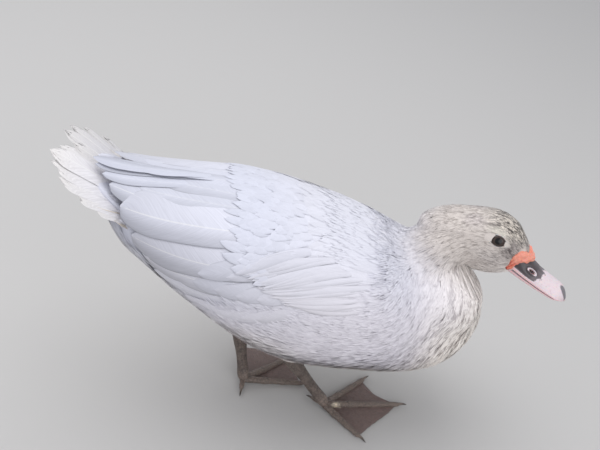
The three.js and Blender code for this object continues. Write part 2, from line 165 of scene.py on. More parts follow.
def outside(y, z, wide, tall, fullness=2.22):
    """How far a point lies outside a full oval |y/wide|^n + |z/tall|^n = 1, measured from the middle."""
    wide, tall = np.maximum(wide, 0.05), np.maximum(tall, 0.05)
    reach = ((np.abs(y) / wide) ** fullness + (np.abs(z) / tall) ** fullness) ** (1 / fullness)
    return np.hypot(y, z) * (1 - 1 / np.maximum(reach, 1e-3))


def loft_depth(points, table, rounding, inset):
    """Distance outside a row of ovals along x whose two ends are rounded, drawn in by inset."""
    x, y, z = points[..., 0], points[..., 1], points[..., 2]
    middle, wide, rise, drop = columns_of(table, x)
    low, high = table[0, 0] + inset, table[-1, 0] - inset
    cap = round_end(x - low, rounding[0]) * round_end(high - x, rounding[1]) * (x > low) * (x < high)
    tall = np.where(z > middle, rise, drop)
    return outside(y, z - middle, wide * cap - inset, tall * cap - inset)


tail_back = np.array([-np.cos(TAIL_RISE), 0, np.sin(TAIL_RISE)])
tail_up = np.array([np.sin(TAIL_RISE), 0, np.cos(TAIL_RISE)])


def run_together(softness, *forms):
    """Soft minimum of distances: -softness log(sum of exp(-d / softness))."""
    return -softness * np.log(sum(np.exp(-np.clip(d, -60, 200) / softness) for d in forms))


def flesh(points):
    """Distance outside the skin: the soft minimum of trunk, tail, crop, neck and head."""
    trunk = loft_depth(points, BODY, BODY_ENDS, COAT_DEPTH["body"])
    local = points - TAIL_ROOT
    s, h = local @ tail_back, local @ tail_up
    wide, above, below = columns_of(TAIL_FLESH, s)
    past = np.maximum(s - TAIL_FLESH[-1, 0], TAIL_FLESH[0, 0] - s)
    tail = outside(points[..., 1], h, wide, np.where(h > 0, above, below)) + np.maximum(past, 0)
    head = loft_depth(to_head(points), HEAD, HEAD_ENDS, COAT_DEPTH["head"])
    neck = np.full(points.shape[:-1], 1e3)
    for x, y, z, radius in along(np.c_[np.arange(5.0), NECK], np.linspace(0, 4, 25)):
        away = np.linalg.norm((points - [x, y, z]) * [1, NECK_FLATNESS, 1], axis=-1)
        neck = np.minimum(neck, away - radius * NECK_FLATNESS + COAT_DEPTH["neck"])
    swell = np.linalg.norm((points - CROP) / CROP_SIZE, axis=-1)
    crop = np.linalg.norm(points - CROP, axis=-1) * (1 - 1 / np.maximum(swell, 1e-3)) + COAT_DEPTH["neck"]
    return run_together(HEAD_BLEND, tail, run_together(BODY_BLEND, trunk, crop, neck), head)


def halved(near, far, place, times):
    """Distance to the skin between near and far, found by halving; place gives the point at a distance."""
    for _ in range(times):
        middle = (near + far) / 2
        out = flesh(place(middle)) > 0
        near, far = np.where(out, near, middle), np.where(out, middle, far)
    return near


def skin_grid(places, angles):
    """Points where rays from the spine leave the flesh: centre(place) + r (side cos + up sin)."""
    row = along(SPINE, places)
    pitch, turn = row[:, 3] * DEGREE, row[:, 4] * DEGREE
    ahead = np.stack([np.cos(pitch) * np.cos(turn), np.cos(pitch) * np.sin(turn), np.sin(pitch)], axis=1)
    side = np.stack([np.sin(turn), -np.cos(turn), 0 * turn], axis=1)
    rising = np.cross(ahead, -side)
    ray = side[:, None] * np.cos(angles)[:, None] + rising[:, None] * np.sin(angles)[:, None]
    centre = row[:, None, :3]
    near, far = np.zeros(ray.shape[:2]), np.full(ray.shape[:2], FARTHEST)
    found = np.zeros(ray.shape[:2], bool)
    for reach in np.arange(FIRST_STEP, FARTHEST, FIRST_STEP):
        out = flesh(centre + ray * reach) > 0
        far = np.where(out & ~found, reach, far)
        found |= out
        near = np.where(found, near, reach)
    return centre + ray * halved(near, far, lambda r: centre + ray * r[..., None], 12)[..., None]


def from_srgb(colour):
    """Screen colour 0-255 to the light it stands for: ((c/255 + 0.055) / 1.055) ^ 2.4."""
    return ((np.asarray(colour, float) / 255 + 0.055) / 1.055) ** 2.4


PALE = from_srgb([231, 227, 234])
MARKINGS = [  # centre, reach in x, y and z, colour, and how fully it covers what is under it
    [(-122, 0, 215), (138, 120, 80), (204, 206, 219), 1.0],  # back and wings
    [(62, 0, 215), (92, 80, 48), (216, 216, 226), 1.0],      # mantle
    [(122, -5, 178), (48, 80, 46), (236, 229, 232), 0.85],   # foot of the neck
    [(152, 0, 120), (66, 95, 66), (242, 233, 230), 0.95],    # breast
    # The belly's warm beige is darkened further as painted shade from the ground beneath it.
    [(64, 0, 62), (170, 120, 42), (148, 134, 121), 0.9],     # belly
    [(-160, 0, 162), (88, 48, 46), (226, 217, 206), 0.9],    # vent
    [(137, -15, 234), (72, 48, 40), (208, 198, 191), 0.97],  # head
]
BODY_MOTTLES = [  # centre, reach, a dark and a light colour shared out by chance, share of dark, cover
    [(147, -4, 136), (60, 110, 78), (122, 104, 94), (255, 248, 240), 0.40, 0.95],  # breast
    [(70, 0, 64), (160, 120, 46), (122, 109, 98), (230, 221, 204), 0.48, 0.85],    # belly
    [(-60, -60, 110), (60, 60, 34), (170, 160, 158), (240, 234, 230), 0.40, 0.6],  # flank
    [(-150, 0, 140), (90, 60, 34), (140, 126, 116), (224, 212, 190), 0.45, 0.7],   # vent
]
HEAD_MOTTLES = [  # the same, in the head's frame and alike on both sides
    [(-22, 0, -4), (50, 40, 44), (146, 135, 127), (220, 211, 204), 0.36, 0.62],    # whole head
    [(9, 0, 17), (25, 22, 13), (46, 39, 37), (226, 216, 204), 0.54, 1.0],          # crown
    [(15, 13, 3), (8, 9, 9), (70, 62, 62), (172, 162, 158), 0.52, 0.9],            # lore
    [(4, 17, -9), (16, 8, 8), (128, 118, 118), (212, 204, 200), 0.42, 0.6],        # cheek
    [(-26, 12, 12), (12, 8, 7), (140, 130, 130), (206, 196, 194), 0.42, 0.6],      # nape
    [(-1, 19, 14.8), (10, 6, 3.6), (222, 214, 200), (232, 226, 214), 0.3, 0.9],    # brow
]


def covering(points, centre, reach):
    """Bell over an oval patch: exp(-(sum of ((p - centre) / reach)^2)^2)."""
    return np.exp(-np.sum(((points - np.array(centre)) / np.array(reach)) ** 2, axis=-1) ** 2)


def plumage(points, chance):
    """Colour of the coat at points: pale ground, markings over it, then mottles dark or light by chance."""
    colour = np.broadcast_to(PALE, points.shape).copy()
    for centre, reach, tint, strength in MARKINGS:
        cover = (strength * covering(points, centre, reach))[..., None]
        colour = colour * (1 - cover) + from_srgb(tint) * cover
    local = to_head(points)
    local[..., 1] = np.abs(local[..., 1])
    for place, mottles in ((points, BODY_MOTTLES), (local, HEAD_MOTTLES)):
        for centre, reach, dark, light, share, strength in mottles:
            cover = (strength * covering(place, centre, reach))[..., None]
            lit = np.clip((chance - share) / 0.2 + 0.5, 0, 1)[..., None]
            colour = colour * (1 - cover) + (from_srgb(dark) * (1 - lit) + from_srgb(light) * lit) * cover
    return colour * (0.91 + 0.13 * chance)[..., None]


def turns(count):
    """Angles of count even steps once round."""
    return np.arange(count) / count * 2 * np.pi


PLACES, ANGLES = np.linspace(0, SPINE[-1, 0], 227), turns(160)
hide_points = skin_grid(PLACES, ANGLES)
along_hide = np.gradient(hide_points, PLACES, axis=0)
round_hide = np.roll(hide_points, -1, axis=1) - np.roll(hide_points, 1, axis=1)
round_hide = round_hide / (2 * (ANGLES[1] - ANGLES[0]))
hide_normals = unit(np.cross(along_hide, round_hide))
for _ in range(3):
    hide_normals = unit(hide_normals + np.roll(hide_normals, 1, 1) + np.roll(hide_normals, -1, 1))
HIDE = np.concatenate([hide_points, hide_normals, np.linalg.norm(along_hide, axis=-1)[..., None],
                       np.linalg.norm(round_hide, axis=-1)[..., None]], axis=-1)


def on_hide(u, v):
    """Place, normal and stretch of the skin at spine place u and angle v, straight between grid points."""
    rows, columns = HIDE.shape[:2]
    f = np.clip(u / PLACES[-1], 0, 1) * (rows - 1)
    g = (v / (2 * np.pi) % 1) * columns
    i, j = np.minimum(f.astype(int), rows - 2), g.astype(int) % columns
    s, t, k = (f - i)[..., None], (g - np.floor(g))[..., None], (j + 1) % columns
    near, far = HIDE[i, j] * (1 - s) + HIDE[i + 1, j] * s, HIDE[i, k] * (1 - s) + HIDE[i + 1, k] * s
    return near * (1 - t) + far * t


def hide(u, v):
    """Place and outward normal on the skin."""
    found = on_hide(u, v)
    return found[..., :3], unit(found[..., 3:6])


BODY_CHART = 0.86  # share of the unwrap's height that the body takes; the thighs share the rest
THIGH_CHARTS, THIGH_CHART_SIZE, THIGH_CHART_LOW = {"right": 0.02, "left": 0.52}, [0.45, 0.11], 0.88


def unwrap(u, v):
    """The skin unrolled: angle across, spine place upward."""
    return np.stack([v / (2 * np.pi) % 1, np.clip(u / PLACES[-1], 0, 1) * BODY_CHART], axis=-1)


def dyed(mesh, title, colour):
    """Keeps a colour for each point as an attribute of the mesh."""
    layer = mesh.attributes.new(title, "FLOAT_COLOR", "POINT")
    layer.data.foreach_set("color", np.c_[colour, np.ones(len(colour))].astype(np.float32).ravel())


def mesh_piece(name, points, faces, maps, colour, material):
    """A mesh from arrays of faces; points in duck millimetres, maps name a place per corner or point."""
    faces = faces if isinstance(faces, list) else [faces]
    corners = np.concatenate([group.ravel() for group in faces]).astype(np.int32)
    sides = np.concatenate([np.full(len(group), group.shape[1], np.int32) for group in faces])
    mesh = bpy.data.meshes.new(name)
    mesh.vertices.add(len(points))
    mesh.vertices.foreach_set("co", placed(points).astype(np.float32).ravel())
    mesh.loops.add(len(corners))
    mesh.loops.foreach_set("vertex_index", corners)
    mesh.polygons.add(len(sides))
    mesh.polygons.foreach_set("loop_start", np.cumsum(sides, dtype=np.int32) - sides)
    mesh.polygons.foreach_set("use_smooth", np.ones(len(sides), bool))
    mesh.update(calc_edges=True)
    for title, places in maps.items():
        layer = mesh.uv_layers.new(name=title)
        at = places if len(places) == len(corners) else places[corners]
        layer.data.foreach_set("uv", at.astype(np.float32).ravel())
    if colour is not None:
        dyed(mesh, "plumage", colour)
    mesh.materials.append(material)
    piece = in_scene(name, mesh)
    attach(piece, "root")
    return piece


def ringed(rings, looped=False):
    """Faces and corner map of a tube of rings (rows, columns, 3), turned outward: capped, or looped."""
    rows, columns = rings.shape[:2]
    i, j = np.meshgrid(np.arange(rows if looped else rows - 1), np.arange(columns), indexing="ij")
    n, k = (i + 1) % rows, (j + 1) % columns
    corners = [i * columns + j, i * columns + k, n * columns + k, n * columns + j]
    faces = [np.stack(corners, -1).reshape(-1, 4)]
    charts = [np.stack([np.stack([j, j + 1, j + 1, j], -1) / columns,
                        np.stack([i, i, i + 1, i + 1], -1) / (rows - 1)], -1).reshape(-1, 4, 2)]
    if not looped:
        around = np.arange(columns)
        faces += [around[None, ::-1], (rows - 1) * columns + around[None]]
        charts += [np.stack([around[::-1] / columns, 0 * around], -1)[None],
                   np.stack([around / columns, 0 * around + 1], -1)[None]]
    p = (rings - rings.mean(axis=(0, 1))).reshape(-1, 3)[faces[0]]
    if (p[:, 0] * (np.cross(p[:, 1], p[:, 2]) + np.cross(p[:, 2], p[:, 3]))).sum() < 0:
        faces, charts = [group[:, ::-1] for group in faces], [group[:, ::-1] for group in charts]
    return faces, np.concatenate([chart.reshape(-1, 2) for chart in charts])


def tube_piece(name, rings, material, colour=None, looped=False, scales=None):
    """A piece from one closed tube of rings, with its map, and a map for plates, scales times the first."""
    faces, chart = ringed(rings, looped)
    maps = {"OFBake": chart} if scales is None else {"OFBake": chart, "scales": chart * scales}
    colour = colour if colour is None else colour.reshape(-1, 3)
    return mesh_piece(name, rings.reshape(-1, 3), faces, maps, colour, material)


def ring_grid(run, columns):
    """Run down the rows and angle round the columns of a tube."""
    return np.meshgrid(run, turns(columns), indexing="ij")


def feed(material, socket, value):
    """Joins another socket to a socket, or else sets the socket's value."""
    if isinstance(value, bpy.types.NodeSocket):
        material.node_tree.links.new(value, socket)
    else:
        socket.default_value = value


def node(material, kind, *feeds, **settings):
    """A new shader node: feeds go to its first sockets, settings to sockets or properties of that name."""
    made = material.node_tree.nodes.new("ShaderNode" + kind)
    for key, value in settings.items():
        title = key.replace("_", " ")
        if title in made.inputs:
            feed(material, made.inputs[title], value)
        else:
            setattr(made, key, value)
    for socket, value in zip(made.inputs, feeds):
        feed(material, socket, value)
    return made.outputs[0]


def split(material, kind, value):
    """The three parts of a vector or a colour."""
    return node(material, kind, value).node.outputs


def ranged(material, value, low=0.0, high=1.0, to_low=0.0, to_high=1.0, **settings):
    """The value carried from low-high to to_low-to_high."""
    return node(material, "MapRange", Value=value, From_Min=low, From_Max=high, To_Min=to_low, To_Max=to_high,
                **settings)


def scaled_by(material, colour, factor):
    """A colour times a number."""
    return node(material, "VectorMath", colour, operation="SCALE", Scale=factor)


def mixed(material, factor, under, over):
    """One colour, covered by another as far as the factor says."""
    mix = node(material, "Mix", data_type="RGBA", Factor=factor).node
    for socket, value in zip([s for s in mix.inputs if s.type == "RGBA"], (under, over)):
        feed(material, socket, value)
    return [s for s in mix.outputs if s.type == "RGBA"][0]


def noise_on(material, scale, detail, **settings):
    """Noise over the piece's own coordinates, scale waves to the metre."""
    where = node(material, "TexCoord").node.outputs["Object"]
    return node(material, "TexNoise", Vector=where, Scale=scale, Detail=detail, **settings)


def new_finish(name, roughness, **sockets):
    """A Principled material with the given socket values."""
    material = bpy.data.materials.new(name)
    material.use_nodes = True
    for key, value in {"Roughness": roughness, **sockets}.items():
        feed(material, material.node_tree.nodes["Principled BSDF"].inputs[key.replace("_", " ")], value)
    return material


def coat(material, colour, height=None, strength=0.0, distance=0.0):
    """Joins a colour to the material's shader, and a relief of the given strength and depth in metres."""
    shader = material.node_tree.nodes["Principled BSDF"]
    feed(material, shader.inputs["Base Color"], colour)
    if height is not None:
        relief = node(material, "Bump", Height=height, Strength=strength, Distance=distance)
        feed(material, shader.inputs["Normal"], relief)


def dye_of(material):
    """The colour kept on the piece's points."""
    return node(material, "Attribute", attribute_name="plumage")


def feather_material(name, streaks, reach, contrast, roughness, shaft=0.0, shine=0.5, bump=0.3):
    """Feather web: the plumage dye, streaked along barbs that leave the shaft slantwise, and a pale shaft."""
    material = new_finish(name, roughness, Sheen_Weight=0.25, Sheen_Roughness=0.5, Specular_IOR_Level=0.35)
    web = split(material, "SeparateXYZ", node(material, "UVMap", uv_map="vane"))
    centred = node(material, "Math", web["X"], 0.5, operation="SUBTRACT")
    aside = node(material, "Math", centred, operation="ABSOLUTE")
    slant = node(material, "Math", aside, -reach, web["Y"], operation="MULTIPLY_ADD")
    barbs = node(material, "CombineXYZ", web["X"], slant)
    along_barbs = node(material, "VectorMath", barbs, streaks, operation="MULTIPLY")
    grain = node(material, "TexNoise", Vector=along_barbs, Scale=1.0, Detail=3.0, Roughness=0.6)
    colour = scaled_by(material, dye_of(material),
                       ranged(material, grain, 0.3, 0.7, 1 - contrast, 1 + 0.5 * contrast))
    if shaft:
        on_shaft = ranged(material, aside, shaft, shaft * 0.4, 0.0, shine)
        colour = mixed(material, on_shaft, colour, (0.80, 0.79, 0.77, 1))
    coat(material, colour, grain, bump, 0.0006)
    return material


def sheet_quads(count, rows, columns):
    """Corner numbers of the faces of count sheets, each of rows x columns points, facing outward."""
    i, j = np.meshgrid(np.arange(rows - 1), np.arange(columns - 1), indexing="ij")
    first = (i * columns + j).ravel()
    one = np.stack([first, first + 1, first + columns + 1, first + columns], axis=1)
    return (one[None] + (np.arange(count) * rows * columns)[:, None, None]).reshape(-1, 4)


def hide_skin():
    """The whole skin: the grid round the spine, drawn together at both ends."""
    ends = [hide_points[0].mean(axis=0), hide_points[-1].mean(axis=0)]
    caps = [e + (hide_points[k] - e) * f for e, k, f in
            [(ends[0], 0, 0.02), (ends[0], 0, 0.6), (ends[1], -1, 0.6), (ends[1], -1, 0.02)]]
    rings = np.concatenate([caps[:2], hide_points, caps[2:]])
    faces, chart = ringed(rings)
    return rings.reshape(-1, 3), faces, chart * [1, BODY_CHART]


THIGHS = {  # right and left: hip, knee and heel with their radii
    "right": np.array([
        [-26, -44, 124, 24], [-20, -39, 100, 22], [-15, -33, 82, 12], [-13, -28, 66, 6]], float),
    "left": np.array([
        [-56, 42, 128, 24], [-58, 34, 104, 22], [-61, 20, 84, 12], [-62.5, 9, 65, 6]], float)}


def thigh_surface(side):
    """Tube round the thigh's line: centre(u) + radius(u) (across cos v + around sin v), hip 0 to heel 1."""
    table = np.c_[np.linspace(0, 1, 4), THIGHS[side]]

    def centre(u):
        """The thigh's line, held at its ends."""
        return along(table, np.clip(u, 0, 1))[..., :3]

    def surface(u, v):
        """Place and outward normal at u and v."""
        row = along(table, u)
        ahead = unit(centre(u + 0.02) - centre(u - 0.02))
        across = unit(np.cross(ahead, [0, 1, 0.0]))
        around = np.cross(ahead, across)
        cap = round_end(u + 0.001, 0.12) * round_end(1.001 - u, 0.03)
        normal = across * np.cos(v)[..., None] + around * np.sin(v)[..., None]
        return row[..., :3] + normal * (row[..., 3] * cap)[..., None], normal
    return surface


def thigh_skin(side):
    """The closed tube of one thigh and its unwrap."""
    rings = thigh_surface(side)(*ring_grid(0.5 - 0.5 * np.cos(np.linspace(0, np.pi, 24)), 32))[0]
    faces, places = ringed(rings)
    return rings.reshape(-1, 3), faces, places * THIGH_CHART_SIZE + [THIGH_CHARTS[side], THIGH_CHART_LOW]


parts = [hide_skin(), thigh_skin("right"), thigh_skin("left")]
starts = np.cumsum([0] + [len(p[0]) for p in parts])
skin_points = np.concatenate([p[0] for p in parts])
skin_faces = [group + start for p, start in zip(parts, starts) for group in p[1]]
skin_map = np.concatenate([p[2] for p in parts])
skin_finish = new_finish("plumage_down", 0.8, Sheen_Weight=0.3)
coat(skin_finish, dye_of(skin_finish), noise_on(skin_finish, 700.0, 4.0), 0.5, 0.0008)
skin = mesh_piece("skin", skin_points, skin_faces, {"OFBake": skin_map},
                  plumage(skin_points, np.full(len(skin_points), 0.6)), skin_finish)
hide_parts("trunk", "neck", "head", "tail", "wing_left", "wing_right", "thigh_left", "thigh_right")

# The eyes are dark brown balls with a round black pupil, wet and glossy, set in the head so that
# only an almond of each shows between the lids. Each is one closed ball turned to look outward.
EYE_SET, EYE_BALL, EYE_LOOK = np.array([-1.8, 11.7, 4.5]), 10.0, np.array([0.05, 0.90, 0.42])
EYE_AHEAD = np.array([1, 0, -0.06])
PUPIL, IRIS = 17, 40  # their edges, in degrees from the middle of the look
SIDES = ((-1, "right"), (1, "left"))


def eye_axes(side):
    """Outward, forward and upward directions of an eye in the head's frame; side is 1 left, -1 right."""
    look = unit(EYE_LOOK * [1, side, 1])
    ahead = unit(EYE_AHEAD - look * (look @ EYE_AHEAD))
    return look, ahead, unit(np.cross(ahead, look) * -side)


def from_eye(side, away, round_it, reach):
    """Points about an eye: centre + reach (cos away look + sin away (cos round ahead + sin round upward))."""
    look, ahead, upward = eye_axes(side)
    aside = np.cos(round_it)[..., None] * ahead + np.sin(round_it)[..., None] * upward
    way = np.cos(away)[..., None] * look + np.sin(away)[..., None] * aside
    return from_head(EYE_SET * [1, side, 1] + way * np.asarray(reach)[..., None])


eye_finish = new_finish("eye", 0.12, Coat_Weight=0.7, Coat_Roughness=0.03, Coat_IOR=1.33,
                        Specular_IOR_Level=0.25)
fibre_place = node(eye_finish, "UVMap", uv_map="OFBake")
fibre_place = node(eye_finish, "VectorMath", fibre_place, (90, 14, 1), operation="MULTIPLY")
fibres = node(eye_finish, "TexNoise", Vector=fibre_place, Scale=1.0, Detail=2.0)
fibre_tone = ranged(eye_finish, fibres, to_low=0.6, to_high=1.5)
coat(eye_finish, scaled_by(eye_finish, dye_of(eye_finish), fibre_tone))
away, round_it = ring_grid(np.linspace(0.4, 179.6, 90) * DEGREE, 64)
bulge = 0.35 * np.clip(1 - (away / (IRIS * DEGREE)) ** 2, 0, 1)
degrees = (away / DEGREE)[..., None]
iris = from_srgb([58, 46, 41]) * (1 - 0.45 * np.clip((degrees - 24) / 16, 0, 1))
ball_dye = iris * np.clip((degrees - PUPIL) / 1.5, 0.02, 1)
ball_dye = np.where(degrees > IRIS, from_srgb([40, 33, 30]) * (1 + 0 * degrees), ball_dye)
for side, name in SIDES:
    ball = from_eye(side, away, round_it, EYE_BALL + bulge)
    eye = tube_piece(f"eyeball_{name}", ball, eye_finish, ball_dye)
    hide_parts(f"eye_{name}")

# The lids are a thin pale rim of bare skin round each eye: a rolled edge that lies on the ball,
# with faint folds behind it, running out under the face feathers.
LID_REACH = {"front": 54.0, "rear": 51.0, "over": 29.0, "under": 28.0}
LID_TILT, LID_LIFT, LID_THICK = 0.2, 0.05, 1.2


def lid_edge(round_it):
    """Angle from the look to the lids' edge: an almond, pointed at the front and rounder behind."""
    c, s = np.cos(round_it + LID_TILT), np.sin(round_it + LID_TILT)
    wide = np.where(c > 0, LID_REACH["front"], LID_REACH["rear"])
    tall = np.where(s > 0, LID_REACH["over"], LID_REACH["under"])
    power = 1.35 + 0.8 * (1 - c) / 2
    return ((np.abs(c) / wide) ** power + (np.abs(s) / tall) ** power) ** (-1 / power) * DEGREE


def around_eye(points, side):
    """Angle from the look over that of the lids' edge, 1 at the edge itself."""
    look, ahead, upward = eye_axes(side)
    out = to_head(points) - EYE_SET * [1, side, 1]
    a, b, c = out @ look, out @ ahead, out @ upward
    return np.arctan2(np.hypot(b, c), a) / lid_edge(np.arctan2(c, b))


def smooth_step(low, high, x):
    """0 below low, 1 above high, and 3t^2 - 2t^3 between."""
    t = np.clip((x - low) / (high - low), 0, 1)
    return t * t * (3 - 2 * t)


lid_finish = new_finish("lid_skin", 0.5, Subsurface_Weight=0.15, Subsurface_Scale=0.002, Coat_Weight=0.15,
                        Coat_Roughness=0.3)
coat(lid_finish, dye_of(lid_finish), noise_on(lid_finish, 2600.0, 3.0), 0.4, 0.0003)
w, round_it = ring_grid(np.linspace(0, 1, 26), 96)
spread = (2.5 + 8.5 * w) * DEGREE * (0.75 + 0.25 * np.abs(np.sin(round_it)))
away = lid_edge(round_it) - 3 * DEGREE + np.where(w < 0.12, 0, spread)
roll = 0.85 * np.sin(np.clip(w / 0.4, 0, 1) * np.pi / 2) ** 0.7 - 0.10 * np.cos(w * 34) * (w > 0.3)
outwards = smooth_step(0.3, 1.0, w)
lid_tint = from_srgb([214, 204, 197]) * (1 - 0.2 * outwards[..., None])
lid_tint = lid_tint * np.where(w < 0.2, 0.12 + 3.4 * np.clip(w - 0.06, 0, 0.2), 1.0)[..., None]
for side, name in SIDES:
    skin_at = halved(np.full(away.shape, 2.0), np.full(away.shape, 26.0),
                     lambda r: from_eye(side, away, round_it, r), 14)
    reach = (EYE_BALL + LID_LIFT + roll) * (1 - outwards) + (skin_at + 0.9 - 1.6 * w ** 6) * outwards
    top = from_eye(side, away, round_it, reach)
    under = from_eye(side, away, round_it, np.minimum(reach, skin_at) - LID_THICK)
    lids = tube_piece(f"lids_{name}", np.concatenate([top, under[::-1]]), lid_finish,
                      np.concatenate([lid_tint, lid_tint[::-1]]), looped=True)

# The bill is horn over bone in two halves. The upper one is high and slate at its base and pale pink
# further out, with an open nostril in a raised rim on each side, a combed edge and a grey nail at the tip.
BILL_FROM, BILL_LONG, UPPER_ROUND, LOWER_ROUND, BILL_POWER = 25.0, 57.0, 11.0, 9.0, 0.9
UPPER = np.array([  # share of the length, height of the edge, half width, rise, drop
    [0, -13, 12, 17, 0.8], [0.3, -14, 12.8, 11.4, 0.8], [0.6, -14.3, 13.5, 8.2, 0.8],
    [0.85, -14.4, 13.2, 6.2, 0.8], [1, -15.0, 11.5, 4, 1.6]], float)
LOWER = np.array([
    [-0.10, -15.9, 10.5, 0.8, 5.5], [0.3, -16.1, 12.7, 0.4, 4.5], [0.7, -16.3, 12.9, 0.4, 2.4],
    [0.94, -16.6, 10.6, 0.4, 1.4]], float)
NOSTRIL = {"at": 41.5, "up": 44 * DEGREE, "long": 3.0, "tall": 1.5}
NAIL = {"at": 80.0, "long": 9.5, "wide": 6.4}
COMB_PITCH = 1.5


def bell(x, middle, width):
    """exp(-((x - middle) / width)^2)."""
    return np.exp(-((x - middle) / width) ** 2)


def full_power(x, power):
    """x raised to a power, its sign kept."""
    return np.sign(x) * np.abs(x) ** power


def half_bill(table, share, around, rounding):
    """Rings of half a bill in the head's frame: width cos^0.9, rise or drop sin^0.9, rounded at the tip."""
    middle, wide, rise, drop = columns_of(table, share)
    cap = round_end((table[-1, 0] - share) * BILL_LONG + 0.002, rounding)
    c, s = np.cos(around), np.sin(around)
    tall = np.where(s > 0, rise, drop) * cap
    return np.stack([BILL_FROM + share * BILL_LONG, wide * cap * full_power(c, BILL_POWER),
                     middle + tall * full_power(s, BILL_POWER)], axis=-1)


def grid_normals(rings):
    """Unit normals of a grid closed round its second side, pointing away from its middle line."""
    normals = np.cross(np.gradient(rings, axis=0), np.roll(rings, -1, 1) - np.roll(rings, 1, 1))
    out = rings - rings.mean(axis=1, keepdims=True)
    return unit(normals) * np.sign((normals * out).sum(axis=(1, 2), keepdims=True).sum())


def tinted(material, base, layers):
    """Colour chain: base, then each layer's colour where its mask passes from its low to its high value."""
    colour = (*from_srgb(base), 1)
    for mask, low, high, tint in layers:
        step = ranged(material, mask, low, high, interpolation_type="SMOOTHSTEP")
        colour = mixed(material, step, colour, (*from_srgb(tint), 1))
    return colour


def marked(piece, title, *masks):
    """Keeps up to three masks as a colour attribute of the piece."""
    masks = np.stack([*masks, *[0 * masks[0]] * (3 - len(masks))], axis=-1)
    dyed(piece.data, title, masks.reshape(-1, 3))


def mask_nodes(material, title, noise_scale, spread):
    """An attribute's masks, one for each share in spread, each plus that share of a noise; then the noise."""
    masks = split(material, "SeparateColor", node(material, "Attribute", attribute_name=title))
    noise = noise_on(material, noise_scale, 4.0, Roughness=0.6)
    return *[node(material, "Math", noise, share, masks[k], operation="MULTIPLY_ADD")
             for k, share in enumerate(spread)], noise


bill_finish = new_finish("bill_horn", 0.36, Subsurface_Weight=0.12, Subsurface_Scale=0.002, Coat_Weight=0.35,
                         Coat_Roughness=0.18)
slate, rim_and_shade, tip, cloud = mask_nodes(bill_finish, "bill", 520.0, (0.75, 0.10, 0.12))
coat(bill_finish, tinted(bill_finish, [222, 206, 210], [
    (cloud, 0.52, 0.72, [208, 186, 192]), (slate, 0.80, 0.98, [104, 94, 98]),
    (slate, 1.05, 1.5, [66, 58, 62]), (rim_and_shade, 0.60, 0.75, [232, 196, 198]),
    # Past 1.05 the second mask paints the nostrils' holes near black as painted shade.
    (rim_and_shade, 1.05, 1.15, [52, 38, 42]), (tip, 0.4, 0.8, [112, 106, 112])]),
    cloud, 0.18, 0.0004)

share, around = np.meshgrid(np.r_[np.linspace(0, 0.86, 150), np.linspace(0.865, 1, 50)],
                            np.r_[np.linspace(0, np.pi, 130), np.linspace(np.pi, 2 * np.pi, 30)[1:-1]],
                            indexing="ij")
upper = half_bill(UPPER, share, around, UPPER_ROUND)
normals = grid_normals(upper)
x, y, z = np.moveaxis(upper, -1, 0)
over = around < np.pi
from_edge = np.minimum(around, np.abs(np.pi - around))
hole_row = np.abs(x[:, 0] - NOSTRIL["at"]).argmin()
push, dark, rim_mask = np.zeros(x.shape), np.zeros(x.shape), np.zeros(x.shape)
for side, _ in SIDES:
    hole_column = np.abs(around[0] - (NOSTRIL["up"] if side > 0 else np.pi - NOSTRIL["up"])).argmin()
    away = upper - upper[hole_row, hole_column]
    upslope = unit(np.cross(normals[hole_row, hole_column], [1, 0, -0.12])) * side
    lengthwise, crosswise = away @ unit(np.array([1, 0, -0.22])), away @ upslope
    ring = np.hypot(lengthwise / NOSTRIL["long"], crosswise / NOSTRIL["tall"])
    push += -1.5 * np.exp(-(ring / 0.85) ** 4) + 0.55 * bell(ring, 1.45, 0.38)
    push += -0.35 * bell(ring, 2.5, 0.6)
    # Painted shade: dark marks each nostril's hole, which the second mask paints near black.
    dark = np.maximum(dark, np.exp(-(ring / 1.05) ** 12))
    rim_mask = np.maximum(rim_mask, bell(ring, 1.5, 0.34) * smooth_step(2.6, 0.6, crosswise))
edge = smooth_step(16 * DEGREE, 2 * DEGREE, from_edge + 9 * (around > np.pi + 0.01))
combed = np.sin(2 * np.pi * x / COMB_PITCH) * smooth_step(30, 36, x) * smooth_step(76, 70, x)
push += 0.45 * edge + 0.10 * edge * combed
groove = bell(np.abs(around - np.pi / 2), 40 * DEGREE, 9 * DEGREE)
push += -0.4 * groove * smooth_step(34, 42, x) * smooth_step(74, 60, x)
nail = np.exp(-(((x - NAIL["at"]) / NAIL["long"]) ** 2 + (y / NAIL["wide"]) ** 2) ** 3) * over
push += 0.55 * nail + 0.05 * np.sin(y * 4.2) * nail
upper = upper + normals * push[..., None]
upper[..., 2] -= 1.1 * smooth_step(73, 82, x) * over * nail
slate_mask = 1.15 - (x - 40.5 - 0.55 * (z + 10) + 1.5 * np.sin(0.9 * y)) / 14
slate_mask = np.clip(slate_mask, 0, 1.25) * smooth_step(3, 16, from_edge / DEGREE)
slate_mask = np.where(around > np.pi, 0.2, slate_mask) * (1 - rim_mask)
bill_upper = tube_piece("bill_over", from_head(upper), bill_finish)
marked(bill_upper, "bill", slate_mask, np.maximum(0.8 * edge, 1.3 * dark), nail)
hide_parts("bill_upper")

share, around = ring_grid(np.linspace(LOWER[0, 0], LOWER[-1, 0], 120), 96)
lower = half_bill(LOWER, share, around, LOWER_ROUND)
side_edge = np.abs(np.cos(around)) ** 6
lower = lower + grid_normals(lower) * (0.3 * side_edge)[..., None]
bill_lower = tube_piece("bill_under", from_head(lower), bill_finish)
marked(bill_lower, "bill", smooth_step(0.5, 0.1, share) * 0.5 * (1 - side_edge), 0.8 * side_edge,
       smooth_step(0.86, 0.92, share) * 0.8)
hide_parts("bill_lower")

